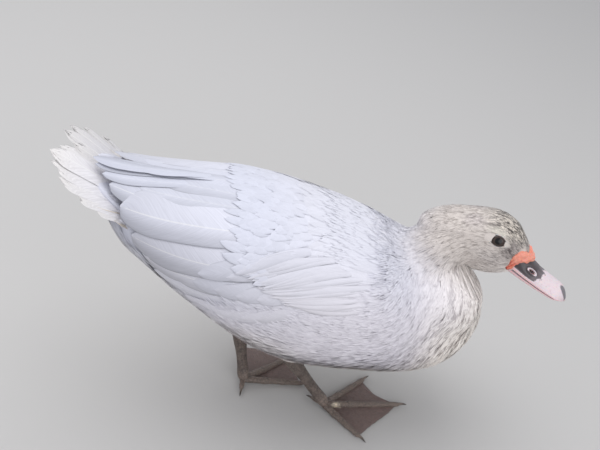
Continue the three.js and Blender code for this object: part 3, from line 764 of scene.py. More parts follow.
# The caruncle is bare coral skin, a fleshy saddle over the root of the bill that runs down each side
# to a dark red fold at the corner of the mouth. It is one lumpy closed pad.
SADDLE = np.array([  # from the saddle's crown 0 to the mouth's corner 1: x, y, z, half length, thickness
    [0, 35.2, 0, 0.8, 2.9, 2.8], [0.2, 30.4, 5.5, 2.4, 4.8, 3.2], [0.42, 24.0, 11.0, 1.8, 5.6, 3.0],
    [0.62, 22.6, 12.6, -4.0, 4.3, 2.9], [0.82, 22.2, 12.8, -11.0, 2.7, 2.3],
    [1, 21.4, 12.2, -16.6, 2.0, 1.9]], float)
run, around = ring_grid(np.linspace(-1, 1, 150), 72)
row = along(SADDLE, np.abs(run))
line = row[..., :3] * np.stack([1 + 0 * run, np.sign(run), 1 + 0 * run], -1)
ahead = unit(np.gradient(line, axis=0))
proud = unit(np.array([0.35, 0, 0.25]) + line * [0, 1, 0] / 13 + [0, 0, 0.5] * (1 - np.abs(run))[..., None])
proud = unit(proud - ahead * (proud * ahead).sum(-1, keepdims=True))
flat = np.cross(ahead, proud)
end = round_end(1.0005 - np.abs(run), 0.10)
bumps = 0.16 * np.sin(run * 17 + 2.2 * np.cos(around * 2)) * np.sin(around * 3 + 5 * run) \
    + 0.09 * np.sin(run * 41 + around * 2) * np.cos(around * 5 - run * 13)
swell = 1 + bumps * (np.sin(around) > -0.5)
pad = line + flat * (np.cos(around) * row[..., 3] * end * swell)[..., None] \
    + proud * (np.sin(around) * row[..., 4] * end * swell)[..., None]
coral_finish = new_finish("coral_skin", 0.42, Subsurface_Weight=0.3, Subsurface_Scale=0.002, Coat_Weight=0.25,
                          Coat_Roughness=0.3)
# The depth mask paints the coral darker down the sides and in the hollows between the lumps as painted shade;
# the dark red at the mouth's corner is partly the skin's own colour and partly painted shade in the fold.
deep, pores = mask_nodes(coral_finish, "depth", 900.0, (0.35,))
coat(coral_finish, tinted(coral_finish, [232, 146, 124], [
    (pores, 0.45, 0.75, [240, 168, 146]), (deep, 0.35, 0.95, [206, 92, 68]), (deep, 1.0, 1.3, [96, 34, 30])]),
    pores, 0.45, 0.0005)
fold_and_shade_mask = smooth_step(0.35, 0.8, np.abs(run)) * 0.5 + 0.7 * smooth_step(0.84, 0.98, np.abs(run))
fold_and_shade_mask = fold_and_shade_mask - 1.2 * bumps
caruncle = tube_piece("caruncle_pad", from_head(pad), coral_finish)
marked(caruncle, "depth", fold_and_shade_mask)
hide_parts("caruncle")

# The body's small feathers: wispy tufts of a few loose strands on neck, breast, flanks, belly and vent,
# each rooted in the skin and lying back along it, tips over the roots of those behind.
chances = np.random.default_rng(11)
STRAND_SIZE = np.array([  # spine place, strand length, half width, strands to a tuft, spread in degrees
    [0, 18, 0.6, 5, 14], [60, 20, 0.6, 6, 14], [160, 20, 0.55, 7, 13], [290, 15, 0.5, 4, 10],
    [340, 13, 0.48, 3, 8], [372, 10, 0.42, 2, 9], [394, 8, 0.34, 2, 8], [425, 6, 0.27, 2, 8],
    [452, 4, 0.22, 2, 8]], float)
FOLD = np.array([  # x, and the degrees up the side below which loose strands grow under the folded wing
    [-215, -20], [-160, -32], [-130, -34], [-110, -28], [-98, -18], [-77, -4], [-62, 14], [-40, 18], [5, 18],
    [40, 22], [70, 36], [92, 62], [110, 100]], float)
STREAK_ROWS, STREAK_COLUMNS, STREAK_LONG = 80, 300, 6
TRIES = 90000                                # places tried for a tuft in each piece
EVEN_STEPS = 0.7548776662, 0.5698402910      # steps that spread the tries evenly over the skin
LEAST_STRETCH = 0.25, 6                      # keeps a step finite where the skin is drawn together
LID_CLEAR = 1.14                             # where feathers stop, as a share of the lids' edge
PATCH = 0.003                                # a feather's size on the unwrap
PAIR = np.array([-1.0, 1.0])  # the two edges of a strand


def hide_stretch(u, v):
    """Millimetres per unit of spine place and per radian on the skin."""
    found = on_hide(u, v)
    return found[..., 6], found[..., 7]


def follow(stretch, u, v, turn, length, rows, lie):
    """Centre lines from their roots: each step goes back, at turn plus the lie towards the back line."""
    us, vs = [u], [v]
    for _ in range(rows - 1):
        a, b = stretch(us[-1], vs[-1])
        way = turn + np.sign(np.cos(vs[-1])) * lie(us[-1], vs[-1])
        us.append(us[-1] - np.cos(way) * length / (rows - 1) / np.maximum(a, LEAST_STRETCH[0]))
        vs.append(vs[-1] + np.sin(way) * length / (rows - 1) / np.maximum(b, LEAST_STRETCH[1]))
    return np.stack(us, axis=1), np.stack(vs, axis=1)


def laid(surface, u, v, half_width, across, height):
    """Sheets on a surface: across their centre lines by half_width, and up its normal by height."""
    centre, normal = surface(u, v)
    per_u = surface(u + 0.5, v)[0] - surface(u - 0.5, v)[0]
    per_v = (surface(u, v + 0.01)[0] - surface(u, v - 0.01)[0]) / 0.02
    ahead = unit(np.gradient(centre, axis=1))
    side = unit(np.cross(ahead, normal))
    e, f, g = (per_u ** 2).sum(-1), (per_u * per_v).sum(-1), (per_v ** 2).sum(-1)
    on_u, on_v = (per_u * side).sum(-1), (per_v * side).sum(-1)
    scale = 1 / np.maximum(e * g - f * f, 1e-3)
    du, dv = (g * on_u - f * on_v) * scale, (e * on_v - f * on_u) * scale
    out = half_width[..., None] * across
    place, normal = surface(u[..., None] + out * du[..., None], v[..., None] + out * dv[..., None])
    return place + normal * height[..., None]


def web_shape(s, fullest, base=0.25, point=0.5):
    """Half width of a web along it: widening from base to 1 at fullest, then drawn in to its tip."""
    widening = base + (1 - base) * np.sin(np.clip(s / fullest, 0, 1) * np.pi / 2)
    closing = np.maximum(1 - (np.clip(s - fullest, 0, 1) / (1.0001 - fullest)) ** 2, 0.002) ** point
    return widening * closing


def feather_piece(name, sheets, roots, colour, material):
    """A coat piece from sheets (count, rows, columns, 3), with a web map and small patches on the unwrap."""
    count, rows, columns = sheets.shape[:3]
    v, u = np.meshgrid(np.linspace(0, 1, rows), np.linspace(0, 1, columns), indexing="ij")
    web = np.broadcast_to(np.stack([u, v], -1), (count, rows, columns, 2)).reshape(-1, 2)
    patch = roots[:, None, None, :] + (np.stack([u, v], -1) - 0.5) * PATCH
    dyes = colour * np.ones((count, rows, columns, 1))
    offsets = chances.uniform(0, 40, (count, 1, 1, 2)) + np.zeros((count, rows, columns, 1))
    piece = mesh_piece(name, sheets.reshape(-1, 3), sheet_quads(count, rows, columns),
                       {"OFBake": patch.reshape(-1, 2), "vane": web, "offset": offsets.reshape(-1, 2)},
                       dyes.reshape(-1, 3), material)


def side_angle(v):
    """Degrees up from the horizontal on either side of the body, 90 at the back."""
    v = v % (2 * np.pi) / DEGREE
    return np.where(v > 270, v - 360, np.where(v > 90, 180 - v, v))


def wispy(u, v):
    """1 where loose strands grow, 0 where the wings and back feathers lie."""
    x = hide(u, v)[0][..., 0]
    edge = along(FOLD, np.clip(x, -215, 110))[..., 0]
    under_wing = smooth_step(0, -8, side_angle(v) - edge - 14)
    front = 0.15 * smooth_step(25, 55, x) + 0.85 * smooth_step(304, 324, u)
    return np.where(u > 340, 1.0, np.maximum(under_wing, front))


def feathered(points):
    """True off the bare parts of the head: behind the caruncle's edge, and clear of the lids by a seventh."""
    x, y, z = np.moveaxis(to_head(points), -1, 0)
    edge = 19.5 + 13.5 * np.exp(-(y / 6.5) ** 2) * (z > -3) + 2 * smooth_step(-13, -17, z) + 90 * (z < -34)
    clear = np.minimum(around_eye(points, -1), around_eye(points, 1)) > LID_CLEAR
    return clear & (x < edge)


STREAKS = chances.random((STREAK_ROWS, STREAK_COLUMNS))


def streak(u, v):
    """Chance shared by neighbours: values at a grid 6 places by 1.2 degrees, eased between."""
    f = u / STREAK_LONG * np.where(u > 400, 2, 1)
    g = v / (2 * np.pi) % 1 * STREAK_COLUMNS
    i, j = f.astype(int), g.astype(int)
    s, t = smooth_step(0, 1, f - i), smooth_step(0, 1, g - j)
    left, right = j % STREAK_COLUMNS, (j + 1) % STREAK_COLUMNS
    near, far = [STREAKS[(i + a) % STREAK_ROWS, left] * (1 - t) + STREAKS[(i + a) % STREAK_ROWS, right] * t
                 for a in (0, 1)]
    return np.clip((near * (1 - s) + far * s - 0.5) * 1.7 + 0.5, 0, 1)


def lie_of_back(x, angle):
    """Turn of the back feathers' lie from x and the angle up the side: up at the shoulder, down behind."""
    rising = 0.26 * smooth_step(0, 45, x)
    falling = -0.62 * smooth_step(5, -40, x) * smooth_step(-110, -70, x)
    return rising * smooth_step(15, 35, angle) \
        + falling * smooth_step(12, 28, angle) * smooth_step(88, 60, angle)


def flow(u, v):
    """Turn of the lie on the skin from straight back, towards the back line."""
    x, angle = hide(u, v)[0][..., 0], side_angle(v)
    return lie_of_back(x, angle) * smooth_step(345, 325, u) + 0.20 * smooth_step(-45, 5, angle) \
        * smooth_step(20, 5, angle) * smooth_step(340, 300, u)


def grow_tufts(name, low, high, cover, lift):
    """Tufts between two spine places, as many as hide the skin: overlap / (length x width) to a square mm."""
    k = np.arange(TRIES) + 0.5
    u = low + (high - low) * (k * EVEN_STEPS[0] % 1)
    v = 2 * np.pi * (k * EVEN_STEPS[1] % 1)
    size = along(STRAND_SIZE, u)
    a, b = hide_stretch(u, v)
    wanted = cover / (size[:, 0] * 2 * size[:, 1] * size[:, 2]) * wispy(u, v)
    keep = chances.random(TRIES) < wanted * a * b * (high - low) * 2 * np.pi / TRIES
    u, v, size = u[keep], v[keep], size[keep]
    tuft_tone = chances.random(len(u))
    strands = np.maximum(np.round(size[:, 2]).astype(int), 1)
    owner = np.repeat(np.arange(len(u)), strands)
    order = np.arange(len(owner)) - np.repeat(np.cumsum(strands) - strands, strands)
    fan = (order + 0.5) / strands[owner] * 2 - 1 + chances.normal(0, 0.2, len(owner))
    size = size[owner]
    root_u, root_v = u[owner], v[owner]
    a, b = hide_stretch(root_u, root_v)
    lean = chances.normal(0, 0.055, len(u))[owner]
    turn = lean + fan * size[:, 3] * DEGREE
    root_v = root_v + fan * size[:, 1] * size[:, 2] * 0.6 / np.maximum(b, LEAST_STRETCH[1])
    length = size[:, 0] * (1.08 - 0.25 * fan ** 2) * chances.uniform(0.8, 1.15, len(owner))
    rows = 5 if low < 380 else 4
    cu, cv = follow(hide_stretch, root_u, root_v, turn, length, rows, flow)
    s = np.linspace(0, 1, rows)
    half = size[:, 1:2] * web_shape(s, 0.45, 0.5)[None] * chances.uniform(0.75, 1.25, (len(owner), 1))
    depth = lift * np.interp(root_u, [0, 60, 340, 372, 400, 452], [0.7, 1, 1, 0.8, 0.42, 0.25])
    depth = depth * (1 + 0.1 * smooth_step(15, 45, side_angle(root_v)) * (root_u < 340))
    rise = chances.uniform(0.92, 1.08, len(owner)) + 0.1 * (tuft_tone[owner] - 0.5)
    hang = 1 + 2.2 * smooth_step(-0.3, -0.85, np.sin(root_v)) * smooth_step(150, 210, root_u) \
        * smooth_step(350, 310, root_u)
    height = (depth * rise)[:, None, None] * (0.5 + (hang[:, None] - 0.5) * s ** 0.7)[..., None]
    roll = chances.normal(0, 0.12, (len(owner), 1, 1)) * half[:, :, None] * PAIR
    sheets = laid(hide, cu, cv, half, PAIR, height + roll)
    shared = np.interp(root_u, [262, 300, 384, 412], [0.3, 0.48, 0.4, 0.25])
    own = 0.6 * tuft_tone[owner] + 0.4 * chances.random(len(owner))
    tone = shared * streak(root_u, root_v) + (1 - shared) * own
    dye = plumage(hide(root_u, root_v)[0], tone)[:, None, None, :] * (0.98 + 0.08 * s)[None, :, None, None]
    roots = unwrap(root_u, root_v)
    if high > 384:
        clear = feathered(sheets.reshape(len(sheets), -1, 3)).all(axis=1)
        sheets, roots, dye = sheets[clear], roots[clear], dye[clear]
    feather_piece(name, sheets, roots, dye, strand_finish)


strand_finish = feather_material("plumage_strands", (3.0, 1.2, 1.0), 0.0, 0.08, 0.62, bump=0.1)
grow_tufts("head_strands", 384, 452, 5.5, 2.5)
grow_tufts("neck_strands", 334, 388, 5.5, 2.2)
grow_tufts("breast_strands", 268, 338, 6.5, 2.3)
grow_tufts("belly_strands", 110, 270, 7.5, 2.4)
grow_tufts("vent_strands", 22, 112, 6.0, 2.1)

# The thighs wear the same loose strands, pointing down over the tops of the shanks.
# They grow singly from the thigh's tube, denser towards the hip, and reach down to the heel.
THIGH_STRANDS, STRAND_ROWS = 2600, 5


def stretch_on(surface):
    """Millimetres per unit of the first and per radian of the second measure on a surface."""
    def stretch(u, v):
        """The two stretches at u and v."""
        return (np.linalg.norm(surface(u + 0.5, v)[0] - surface(u - 0.5, v)[0], axis=-1),
                np.linalg.norm(surface(u, v + 0.02)[0] - surface(u, v - 0.02)[0], axis=-1) / 0.04)
    return stretch


for side in THIGHS:
    def leg_bed(u, v, surface=thigh_surface(side)):
        """Place and normal on the thigh: u counts back from the heel in hundredths, so tufts point to it."""
        return surface(1 - u / 100, v)

    n, s = THIGH_STRANDS, np.linspace(0, 1, STRAND_ROWS)
    u, v = 3 + 72 * chances.random(n) ** 0.7, chances.uniform(0, 2 * np.pi, n)
    length = 13 * chances.uniform(0.8, 1.2, n) * np.interp(u, [3, 20], [0.75, 1])
    cu, cv = follow(stretch_on(leg_bed), u, v, chances.normal(0, 0.16, n), length, STRAND_ROWS,
                    lambda u, v: 0 * u)
    half = 0.55 * web_shape(s, 0.45, 0.5)[None] * chances.uniform(0.75, 1.25, (n, 1))
    height = (1.8 * chances.uniform(0.6, 1.1, n))[:, None, None] * (0.5 + 0.5 * s)[None, :, None] + 0 * PAIR
    sheets = laid(leg_bed, np.clip(cu, -2, 99), cv, half, PAIR, height)
    roots = np.stack([v / (2 * np.pi) * THIGH_CHART_SIZE[0] + THIGH_CHARTS[side],
                      THIGH_CHART_LOW + THIGH_CHART_SIZE[1] * (1 - u / 100)], -1)
    dye = from_srgb([214, 205, 198]) * chances.uniform(0.7, 1.1, (n, 1, 1, 1))
    feather_piece(f"thigh_strands_{side}", sheets, roots, dye, strand_finish)


# The back and shoulders: broad smooth feathers in staggered rows, small at the neck and long towards the
# tail, laid like tiles over the folded wings. Slim ones on the shoulder join them to the neck's strands.
BED = np.array([  # as BODY, but raised behind, where wings and back feathers lie over the root of the tail
    [-245, 242, 26, 14, 12], [-212, 224, 38, 22, 22], [-175, 205, 54, 35, 33], *BODY[2:]], float)
BED_FRONT = 168
BACK_ROWS = np.array([  # x of the roots, length, half width, angle of the lowest feather
    [84, 18, 4.5, 56], [60, 24, 5.0, 36], [20, 38, 5.5, 25], [-20, 52, 6.0, 33], [-60, 64, 6.2, 56],
    [-90, 66, 6.5, 64]], float)
WEB_ROWS, WEB_ACROSS = 10, np.array([-1, -0.86, -0.5, 0, 0.5, 0.86, 1])


def bed(x, v):
    """Place and normal on the closed wings: centre(x) + half width cos^0.9 v, rise or drop sin^0.9 v."""
    def spot(x, v):
        """The place alone."""
        middle, wide, rise, drop = columns_of(BED, x)
        cap = round_end(BED_FRONT - x, 60)
        c, s = np.cos(v), np.sin(v)
        return np.stack([x, -wide * cap * full_power(c, 0.9),
                         middle + np.where(s > 0, rise, drop) * cap * full_power(s, 0.9)], -1)
    return spot(x, v), unit(np.cross(spot(x + 1, v) - spot(x - 1, v), spot(x, v + 0.02) - spot(x, v - 0.02)))


def spine_place(x):
    """Spine place of a trunk section at x."""
    return np.interp(x, SPINE[:11, 1], SPINE[:11, 0])


def web_height(s, across, root, tip, camber):
    """Height of a web over its bed: up from its root early on, then level; its edges drawn down by camber."""
    rise = root[:, None, None] + (tip - root)[:, None, None] * (1 - np.exp(-5 * s))[None, :, None]
    return rise - camber * (across ** 2)[None, None, :] * (0.3 + 0.7 * s)[None, :, None]


def row_spots(x, lowest, half, row):
    """Angles of a row's feathers, evenly spaced along the outline at x, with one more in every other row."""
    v = np.linspace(lowest * DEGREE, np.pi - lowest * DEGREE, 400)
    arc = np.r_[0, np.cumsum(np.linalg.norm(np.diff(bed(np.full(400, x), v)[0], axis=0), axis=1))]
    count = int(arc[-1] / (half * 0.95)) + row % 2
    return np.interp((np.arange(count) + 0.5) / count * arc[-1], arc, v)


back_u, back_v, back_size = [], [], []
x, row = 34.0, 0
while x > -78:
    length, half, lowest = along(BACK_ROWS, x)
    back_v.append(row_spots(x, lowest, half, row))
    back_u.append(np.full(len(back_v[-1]), x))
    back_size.append(np.tile([length, half], (len(back_v[-1]), 1)))
    x -= length * 0.2
    row += 1
back_u, back_v, back_size = np.concatenate(back_u), np.concatenate(back_v), np.concatenate(back_size)
n, rows, across = len(back_u), WEB_ROWS, WEB_ACROSS
back_u += chances.normal(0, 0.13, n) * back_size[:, 0]
back_v += chances.normal(0, 0.03, n)
length = chances.uniform(0.7, 1.2, n) + 0.3 * smooth_step(-30, -70, back_u) * chances.random(n) ** 2
length = back_size[:, 0] * length
s = np.linspace(0, 1, rows)
cu, cv = follow(stretch_on(bed), back_u, back_v, chances.normal(0, 0.05, n), length, rows,
                lambda x, v: lie_of_back(x, side_angle(v)))
half = back_size[:, 1:2] * web_shape(s, 0.4, 0.4, 0.75)[None] * chances.uniform(0.8, 1.15, (n, 1))
top = 0.1 - 0.4 * smooth_step(-40, 34, back_u) + 1.65 * smooth_step(-15, -75, back_u) \
    + chances.normal(0, 0.06, n)
early = smooth_step(0, -40, back_u)[:, None]
height = (-1.9 + (top + 1.9)[:, None] * (s ** 0.8 * (1 - early) + (1 - np.exp(-5 * s)) * early))[..., None] \
    - 0.3 * across ** 2 * s[:, None]
sheets = laid(bed, cu, cv, half, across, height)
# Painted shade: a dark line along each back feather's lower edge behind the shoulder.
lower = smooth_step(-0.8, -1, across * np.sign(np.cos(back_v))[:, None])[:, None, :]
rim_and_shade = 1 - 0.34 * lower * smooth_step(10, -40, back_u)[:, None, None] * smooth_step(0.1, 0.4, s)[None, :, None]
mantle_rows = []
for place in np.arange(340, 258, -5.0):
    low = np.interp(place, [262, 318, 340], [27, 46, 58]) * DEGREE
    spots = np.linspace(low, np.pi - low, 36 + int(place / 5) % 2)
    mantle_rows.append(np.stack([np.full(len(spots), place), spots], axis=1))
mantle_u, mantle_v = np.concatenate(mantle_rows).T
m = len(mantle_u)
mantle_u, mantle_v = mantle_u + chances.normal(0, 2.0, m), mantle_v + chances.normal(0, 0.03, m)
mu, mv = follow(hide_stretch, mantle_u, mantle_v, chances.normal(0, 0.05, m),
                38 * chances.uniform(0.8, 1.2, m), rows, flow)
narrow = 3.4 * web_shape(s, 0.4, 0.4, 0.95)[None] * chances.uniform(0.8, 1.2, (m, 1))
mantle_rise = 1.9 - 0.5 * smooth_step(292, 264, mantle_u) + chances.normal(0, 0.06, m)
mantle_height = (0.7 + mantle_rise[:, None] * s ** 0.8)[..., None] - 0.2 * across ** 2 * s[:, None]
mantle = laid(hide, mu, mv, narrow, across, mantle_height)
back_finish = feather_material("back_web", (3.0, 24.0, 1.0), 0.55, 0.07, 0.55, bump=0.2)
dye = plumage(bed(back_u, back_v)[0], 0.3 + 0.6 * chances.random(n))[:, None, None, :]
# Painted shade: each web is also a little darker towards its tip.
dye = dye * rim_and_shade[..., None] * (1.07 - 0.09 * s)[None, :, None, None]
mantle_dye = plumage(hide(mantle_u, mantle_v)[0], 0.5 + 0.4 * chances.random(m))[:, None, None, :]
feather_piece("back_feathers", np.concatenate([sheets, mantle]),
              np.concatenate([unwrap(spine_place(back_u), back_v), unwrap(mantle_u, mantle_v)]),
              np.concatenate([dye + 0 * sheets[..., :1], mantle_dye + 0 * mantle[..., :1]]),
              back_finish)

# The folded wings: long stiff flight feathers with white shafts, the upper ones over the lower,
# and rows of shorter coverts over their roots. The left wing's tips cross over the right ones.
QUILLS = np.array([  # tip x, tip angle, root x, root angle, half width, bow midway, height
    [-219, 76, -118, 95, 6.5, 4, 3.2], [-212, 66, -112, 90, 8, 4, 2.4],
    [-168, 86, -58, 84, 13, 0, 1.7], [-180, 68, -56, 74, 15, 2, 1.5],
    *[[-160 + 8 * k, -24 - 4.5 * k, -66 + 6 * k, 18 - 3 * k, 11, -1, -0.2 - 0.3 * k] for k in range(8)]],
    float)
TERTIALS = np.array([
    [-205, 56, -60, 64, 15, 1, 1.3], [-194, 34, -46, 60, 21, 5, 1.8], [-182, 6, -46, 44, 16, -1, 0.9],
    [-170, -9, -46, 31, 12, -2, 0.3]], float)
CROSSED = np.array([  # the left wing's tips that lie over the right wing, angles measured up the left side
    [-222, 96, -120, 82, 6.5, 0, 5.2], [-210, 88, -112, 84, 6, 0, 4.2]], float)
COVERTS = np.array([
    *[[-132 + 12 * k, -24 + 4.5 * k, -84 + 12 * k, -4 + 5 * k, 7, -1, 0.1] for k in range(6)],
    *[[-128 + 18 * k, 1 + 4 * k, -76 + 15 * k, 25 + 4 * k, 8, -3, 0.4] for k in range(4)],
    [-125, 11, -46, 50, 9.5, 2, 1.1], [-102, 20, -30, 52, 9, 2, 1.0]], float)
FOLDED = np.array([  # the long loose coverts that sweep down from the shoulder and meet at the fold
    [0, -44, 16, 40, 28, 2.6, -2, 0.5], [0.25, -60, 19, 34, 37, 2.8, 0, 0.8],
    [0.5, -66, 22, 24, 47, 3.2, 2, 1.1], [0.75, -76, 25, 6, 55, 3.8, 3, 1.4],
    [1, -96, 27, -16, 58, 4.6, 3, 1.7]], float)
FOLDED_COUNT, FOLDED_JITTER = 34, [5, 1.2, 6, 1.5, 0.4, 0.8, 0.08]
EDGES = np.array([-1, -0.95, -0.82, -0.6, -0.3, 0, 0.3, 0.6, 0.82, 0.95, 1])
WING_ROWS = {  # rows of points, place of the fullest width, painted shade of the lower web; base, camber and painted shade from root to tip
    "quills": (30, 0.78, 0.16, 0.55, 0.6, 0.12), "tertials": (40, 0.76, 0.24, 0.55, 0.6, 0.35),
    "coverts": (18, 0.55, 0.12, 0.25, 0.3, 0.1)}


def wing_sheets(table, mirror, rows, fullest, dark, base, camber, tip_shade):
    """Flight feathers on a bowed line from root to tip; the upper web is wider; painted shade darkens the
    lower web and the edges, and grows from the pale root towards the tip.
    """
    s, up = np.linspace(0, 1, rows), EDGES * mirror
    tip_x, tip_a, root_x, root_a, half, bow, high = table.T
    cu = root_x[:, None] + (tip_x - root_x)[:, None] * s
    angle = (root_a[:, None] + (tip_a - root_a)[:, None] * s + bow[:, None] * 4 * s * (1 - s)) * DEGREE
    cv = angle if mirror == 1 else np.pi - angle
    count = len(table)
    wave = np.sin(9 * s[None, :, None] + 2.5 * EDGES + chances.uniform(0, 6, (count, 1, 1)))
    height = web_height(s, EDGES, high - 3.6, high, camber) + 0.16 * wave * s[None, :, None]
    # Painted shade: the lower web darker, a dark line along its lower edge and a fainter one along the upper,
    # and darker from the pale root towards the tip.
    shade = 1 - dark * smooth_step(0.05, -0.75, up) * smooth_step(0, 0.3, s)[:, None]
    shade = shade * (1 - 0.42 * smooth_step(-0.93, -0.99, up)) * (1 - 0.25 * smooth_step(0.95, 1.0, up))
    shade = shade[None] * (1.0 + tip_shade * (0.6 - s))[None, :, None] * chances.uniform(0.92, 0.98, (count, 1, 1))
    dye = plumage(bed(cu[:, 0], cv[:, 0])[0], np.full(count, 0.6))[:, None, None, :] * shade[..., None]
    half = half[:, None] * web_shape(s, fullest, base)[None]
    half = half * (1 + 0.03 * np.sin(14 * s[None] + chances.uniform(0, 6, (count, 1))))
    reach = np.where(up < 0, 0.85, 1.1) * EDGES
    return laid(bed, cu, cv, half, reach, height), unwrap(spine_place(cu[:, 0]), cv[:, 0]), dye


WING_FINISHES = {
    "quills": feather_material("quill_web", (3.0, 80.0, 1.0), 0.45, 0.10, 0.5, shaft=0.03, shine=0.12,
                               bump=0.35),
    "tertials": feather_material("tertial_web", (3.0, 80.0, 1.0), 0.45, 0.10, 0.5, shaft=0.014, shine=0.4,
                                 bump=0.35),
    "coverts": feather_material("covert_web", (3.0, 30.0, 1.0), 0.55, 0.08, 0.5, bump=0.25)}
for side, mirror in (("right", 1), ("left", -1)):
    folded = along(FOLDED, (np.arange(FOLDED_COUNT) + 0.5) / FOLDED_COUNT)
    folded = folded + chances.normal(0, FOLDED_JITTER, (FOLDED_COUNT, 7))
    tables = {"quills": QUILLS if mirror == 1 else np.concatenate([QUILLS[2:], CROSSED]),
              "tertials": TERTIALS, "coverts": np.concatenate([COVERTS, folded])}
    for name, table in tables.items():
        sheets, roots, dye = wing_sheets(table, mirror, *WING_ROWS[name])
        feather_piece(f"wing_{side}_{name}", sheets, roots, dye, WING_FINISHES[name])


# The tail: stiff white-shafted feathers fanned from the rump, worn and frayed at their ends,
# with soft coverts over and under their roots.
TAIL_QUILLS = np.array([  # tip's distance back, tip's and root's place across, half width, height, grey
    [46, 62, 22, 9, -3.2, 0.25], [64, 66, 21, 10, -2.6, 0.22], [84, 53, 18, 11, -1.8, 0.2],
    [98, 37, 14, 11, -1.0, 0.16], [104, 22, 9, 11, -0.4, 0.14], [93, 10, 4, 10, 0.2, 0.12],
    [58, -45, -22, 8, -2.4, 0.06], [78, -44, -21, 9, -1.8, 0.04], [96, -38, -19, 10, -1.2, 0.03],
    [106, -28, -15, 11, -0.6, 0.02], [103, -4, -2, 10, -0.1, 0.05], [112, -16, -8, 12, 0.6, 0.0]], float)
TAIL_WIDTH = np.array([[-30, 24], [0, 30], [40, 37], [75, 40], [115, 42]], float)
TAIL_ROWS, TAIL_COLUMNS, TAIL_START = 28, 21, 12


def tail_bed(s, v):
    """The fan's sheet: root + back s + across v width(s) + up (1 - 3 v^2), with v from -1 to 1."""
    def spot(s, v):
        """The place alone."""
        wide = along(TAIL_WIDTH, s)[..., 0]
        lift = 1 - 3 * v * v
        return TAIL_ROOT + s[..., None] * tail_back + (v * wide)[..., None] * [0, 1, 0] \
            + lift[..., None] * tail_up
    return spot(s, v), unit(np.cross(spot(s, v + 0.02) - spot(s, v - 0.02), spot(s + 1, v) - spot(s - 1, v)))


def tail_laid(u, v, half, across, height):
    """Sheets along the fan: u back from the root, v and half in millimetres across it."""
    wide = along(TAIL_WIDTH, u)[..., 0]
    place, normal = tail_bed(u, (v[..., None] + half[..., None] * across) / wide)
    return place + normal * height[..., None]


def worn(count, columns, most):
    """How far each column of a web falls short of its tip: by chance up to most, neighbours near alike."""
    fall = chances.random((count, columns + 2))
    return most * (0.6 * fall[:, 1:-1] + 0.2 * fall[:, :-2] + 0.2 * fall[:, 2:]) ** 1.5


across, s = np.linspace(-1, 1, TAIL_COLUMNS), np.linspace(0, 1, TAIL_ROWS)
length, tip, root, half, lift, grey = TAIL_QUILLS.T
count = len(length)
fray = worn(count, TAIL_COLUMNS, 12)[:, None] * smooth_step(0.7, 1, s)[:, None]
cu = (-TAIL_START + (length[:, None] + TAIL_START) * s)[..., None] - fray
cv = root[:, None] + (tip - root)[:, None] * s ** 0.85
width = half[:, None] * web_shape(s, 0.86, 0.4)[None]
ripple = 0.15 * np.sin(11 * s[:, None] + 3 * across)
sheets = tail_laid(cu, cv, width, across, web_height(s, across, lift - 1.0, lift + 0.4, 0.5) + ripple)
tail_finish = feather_material("tail_web", (2.0, 70.0, 1.0), 0.25, 0.16, 0.5, shaft=0.03, shine=0.7, bump=0.4)
tint = (1 - grey[:, None, None, None]) * (from_srgb([224, 222, 230]) * (1 - s ** 2)[:, None, None]
                                          + from_srgb([228, 224, 222]) * (s ** 2)[:, None, None])
feather_piece("tail_quills", sheets, unwrap(np.full(count, 70.0), np.pi / 2 - root * 0.04),
              tint * np.ones((count, TAIL_ROWS, TAIL_COLUMNS, 1)), tail_finish)

# Soft coverts lie over the quills' roots, above and below, with a fluffy edge under the tail.
# They fan out as they go back, and are shorter above the tail than below it.
TAIL_COVERT_WIDE = 6.5
n, rows, across = 130, 8, np.linspace(-1, 1, 5)
s = np.linspace(0, 1, rows)
for name, facing, longest, further, proud, tint in (
        ("tail_coverts_over", 1, 46, -12, TAIL_FLESH[1, 2] + 0.5, [214, 213, 222]),
        ("tail_coverts_under", -1, 62, 0, 6.0, [222, 212, 200])):
    start = chances.uniform(-30, 16, n) + further
    cv = chances.uniform(-24, 24, n)[:, None] * (1 + 0.9 * s) + chances.normal(0, 2, (n, 1)) * s
    cu = start[:, None] + longest * chances.uniform(0.7, 1.1, (n, 1)) * s
    height = facing * (web_height(s, across, np.full(n, 0.0), 2.6 + chances.normal(0, 0.5, n), 0.6)
                       + proud * smooth_step(40, -20, cu)[..., None])
    width = TAIL_COVERT_WIDE * web_shape(s, 0.5, 0.5)[None] + 0 * cu
    sheets = tail_laid(cu[..., None] + 0 * across, cv, width, across, height)
    sheets = sheets[:, :, ::facing]
    tint = from_srgb(tint) * chances.uniform(0.86, 1.04, (n, 1, 1, 1))
    roots = unwrap(np.full(n, 60.0), np.pi / 2 * facing + cv[:, 0] * 0.03)
    feather_piece(name, sheets, roots, tint, back_finish)

# The shanks are bare scaled legs, round and a little flattened, thick at heel and ankle.
# Each is one closed tube with rows of plates in its skin; the same finish runs on over the toes.
LEGS = {"right": {"stand": (33, -33), "heading": 7, "heel": (-13, -27, 60)},
        "left": {"stand": (-51, -8), "heading": 36, "heel": (-63, 6, 56)}}
SHANK = np.array([  # share of the way from heel to ankle, half width across, half depth
    [0, 7.4, 7.6], [0.16, 6.6, 7.0], [0.4, 4.9, 5.7], [0.7, 4.9, 5.5], [0.9, 6.0, 6.0], [1, 5.6, 5.0]], float)
SOLE, ANKLE_HEIGHT = 2.2, 7.0
SHANK_FROM, SHANK_TO, SHANK_PLATES = -0.25, 1.02, 26


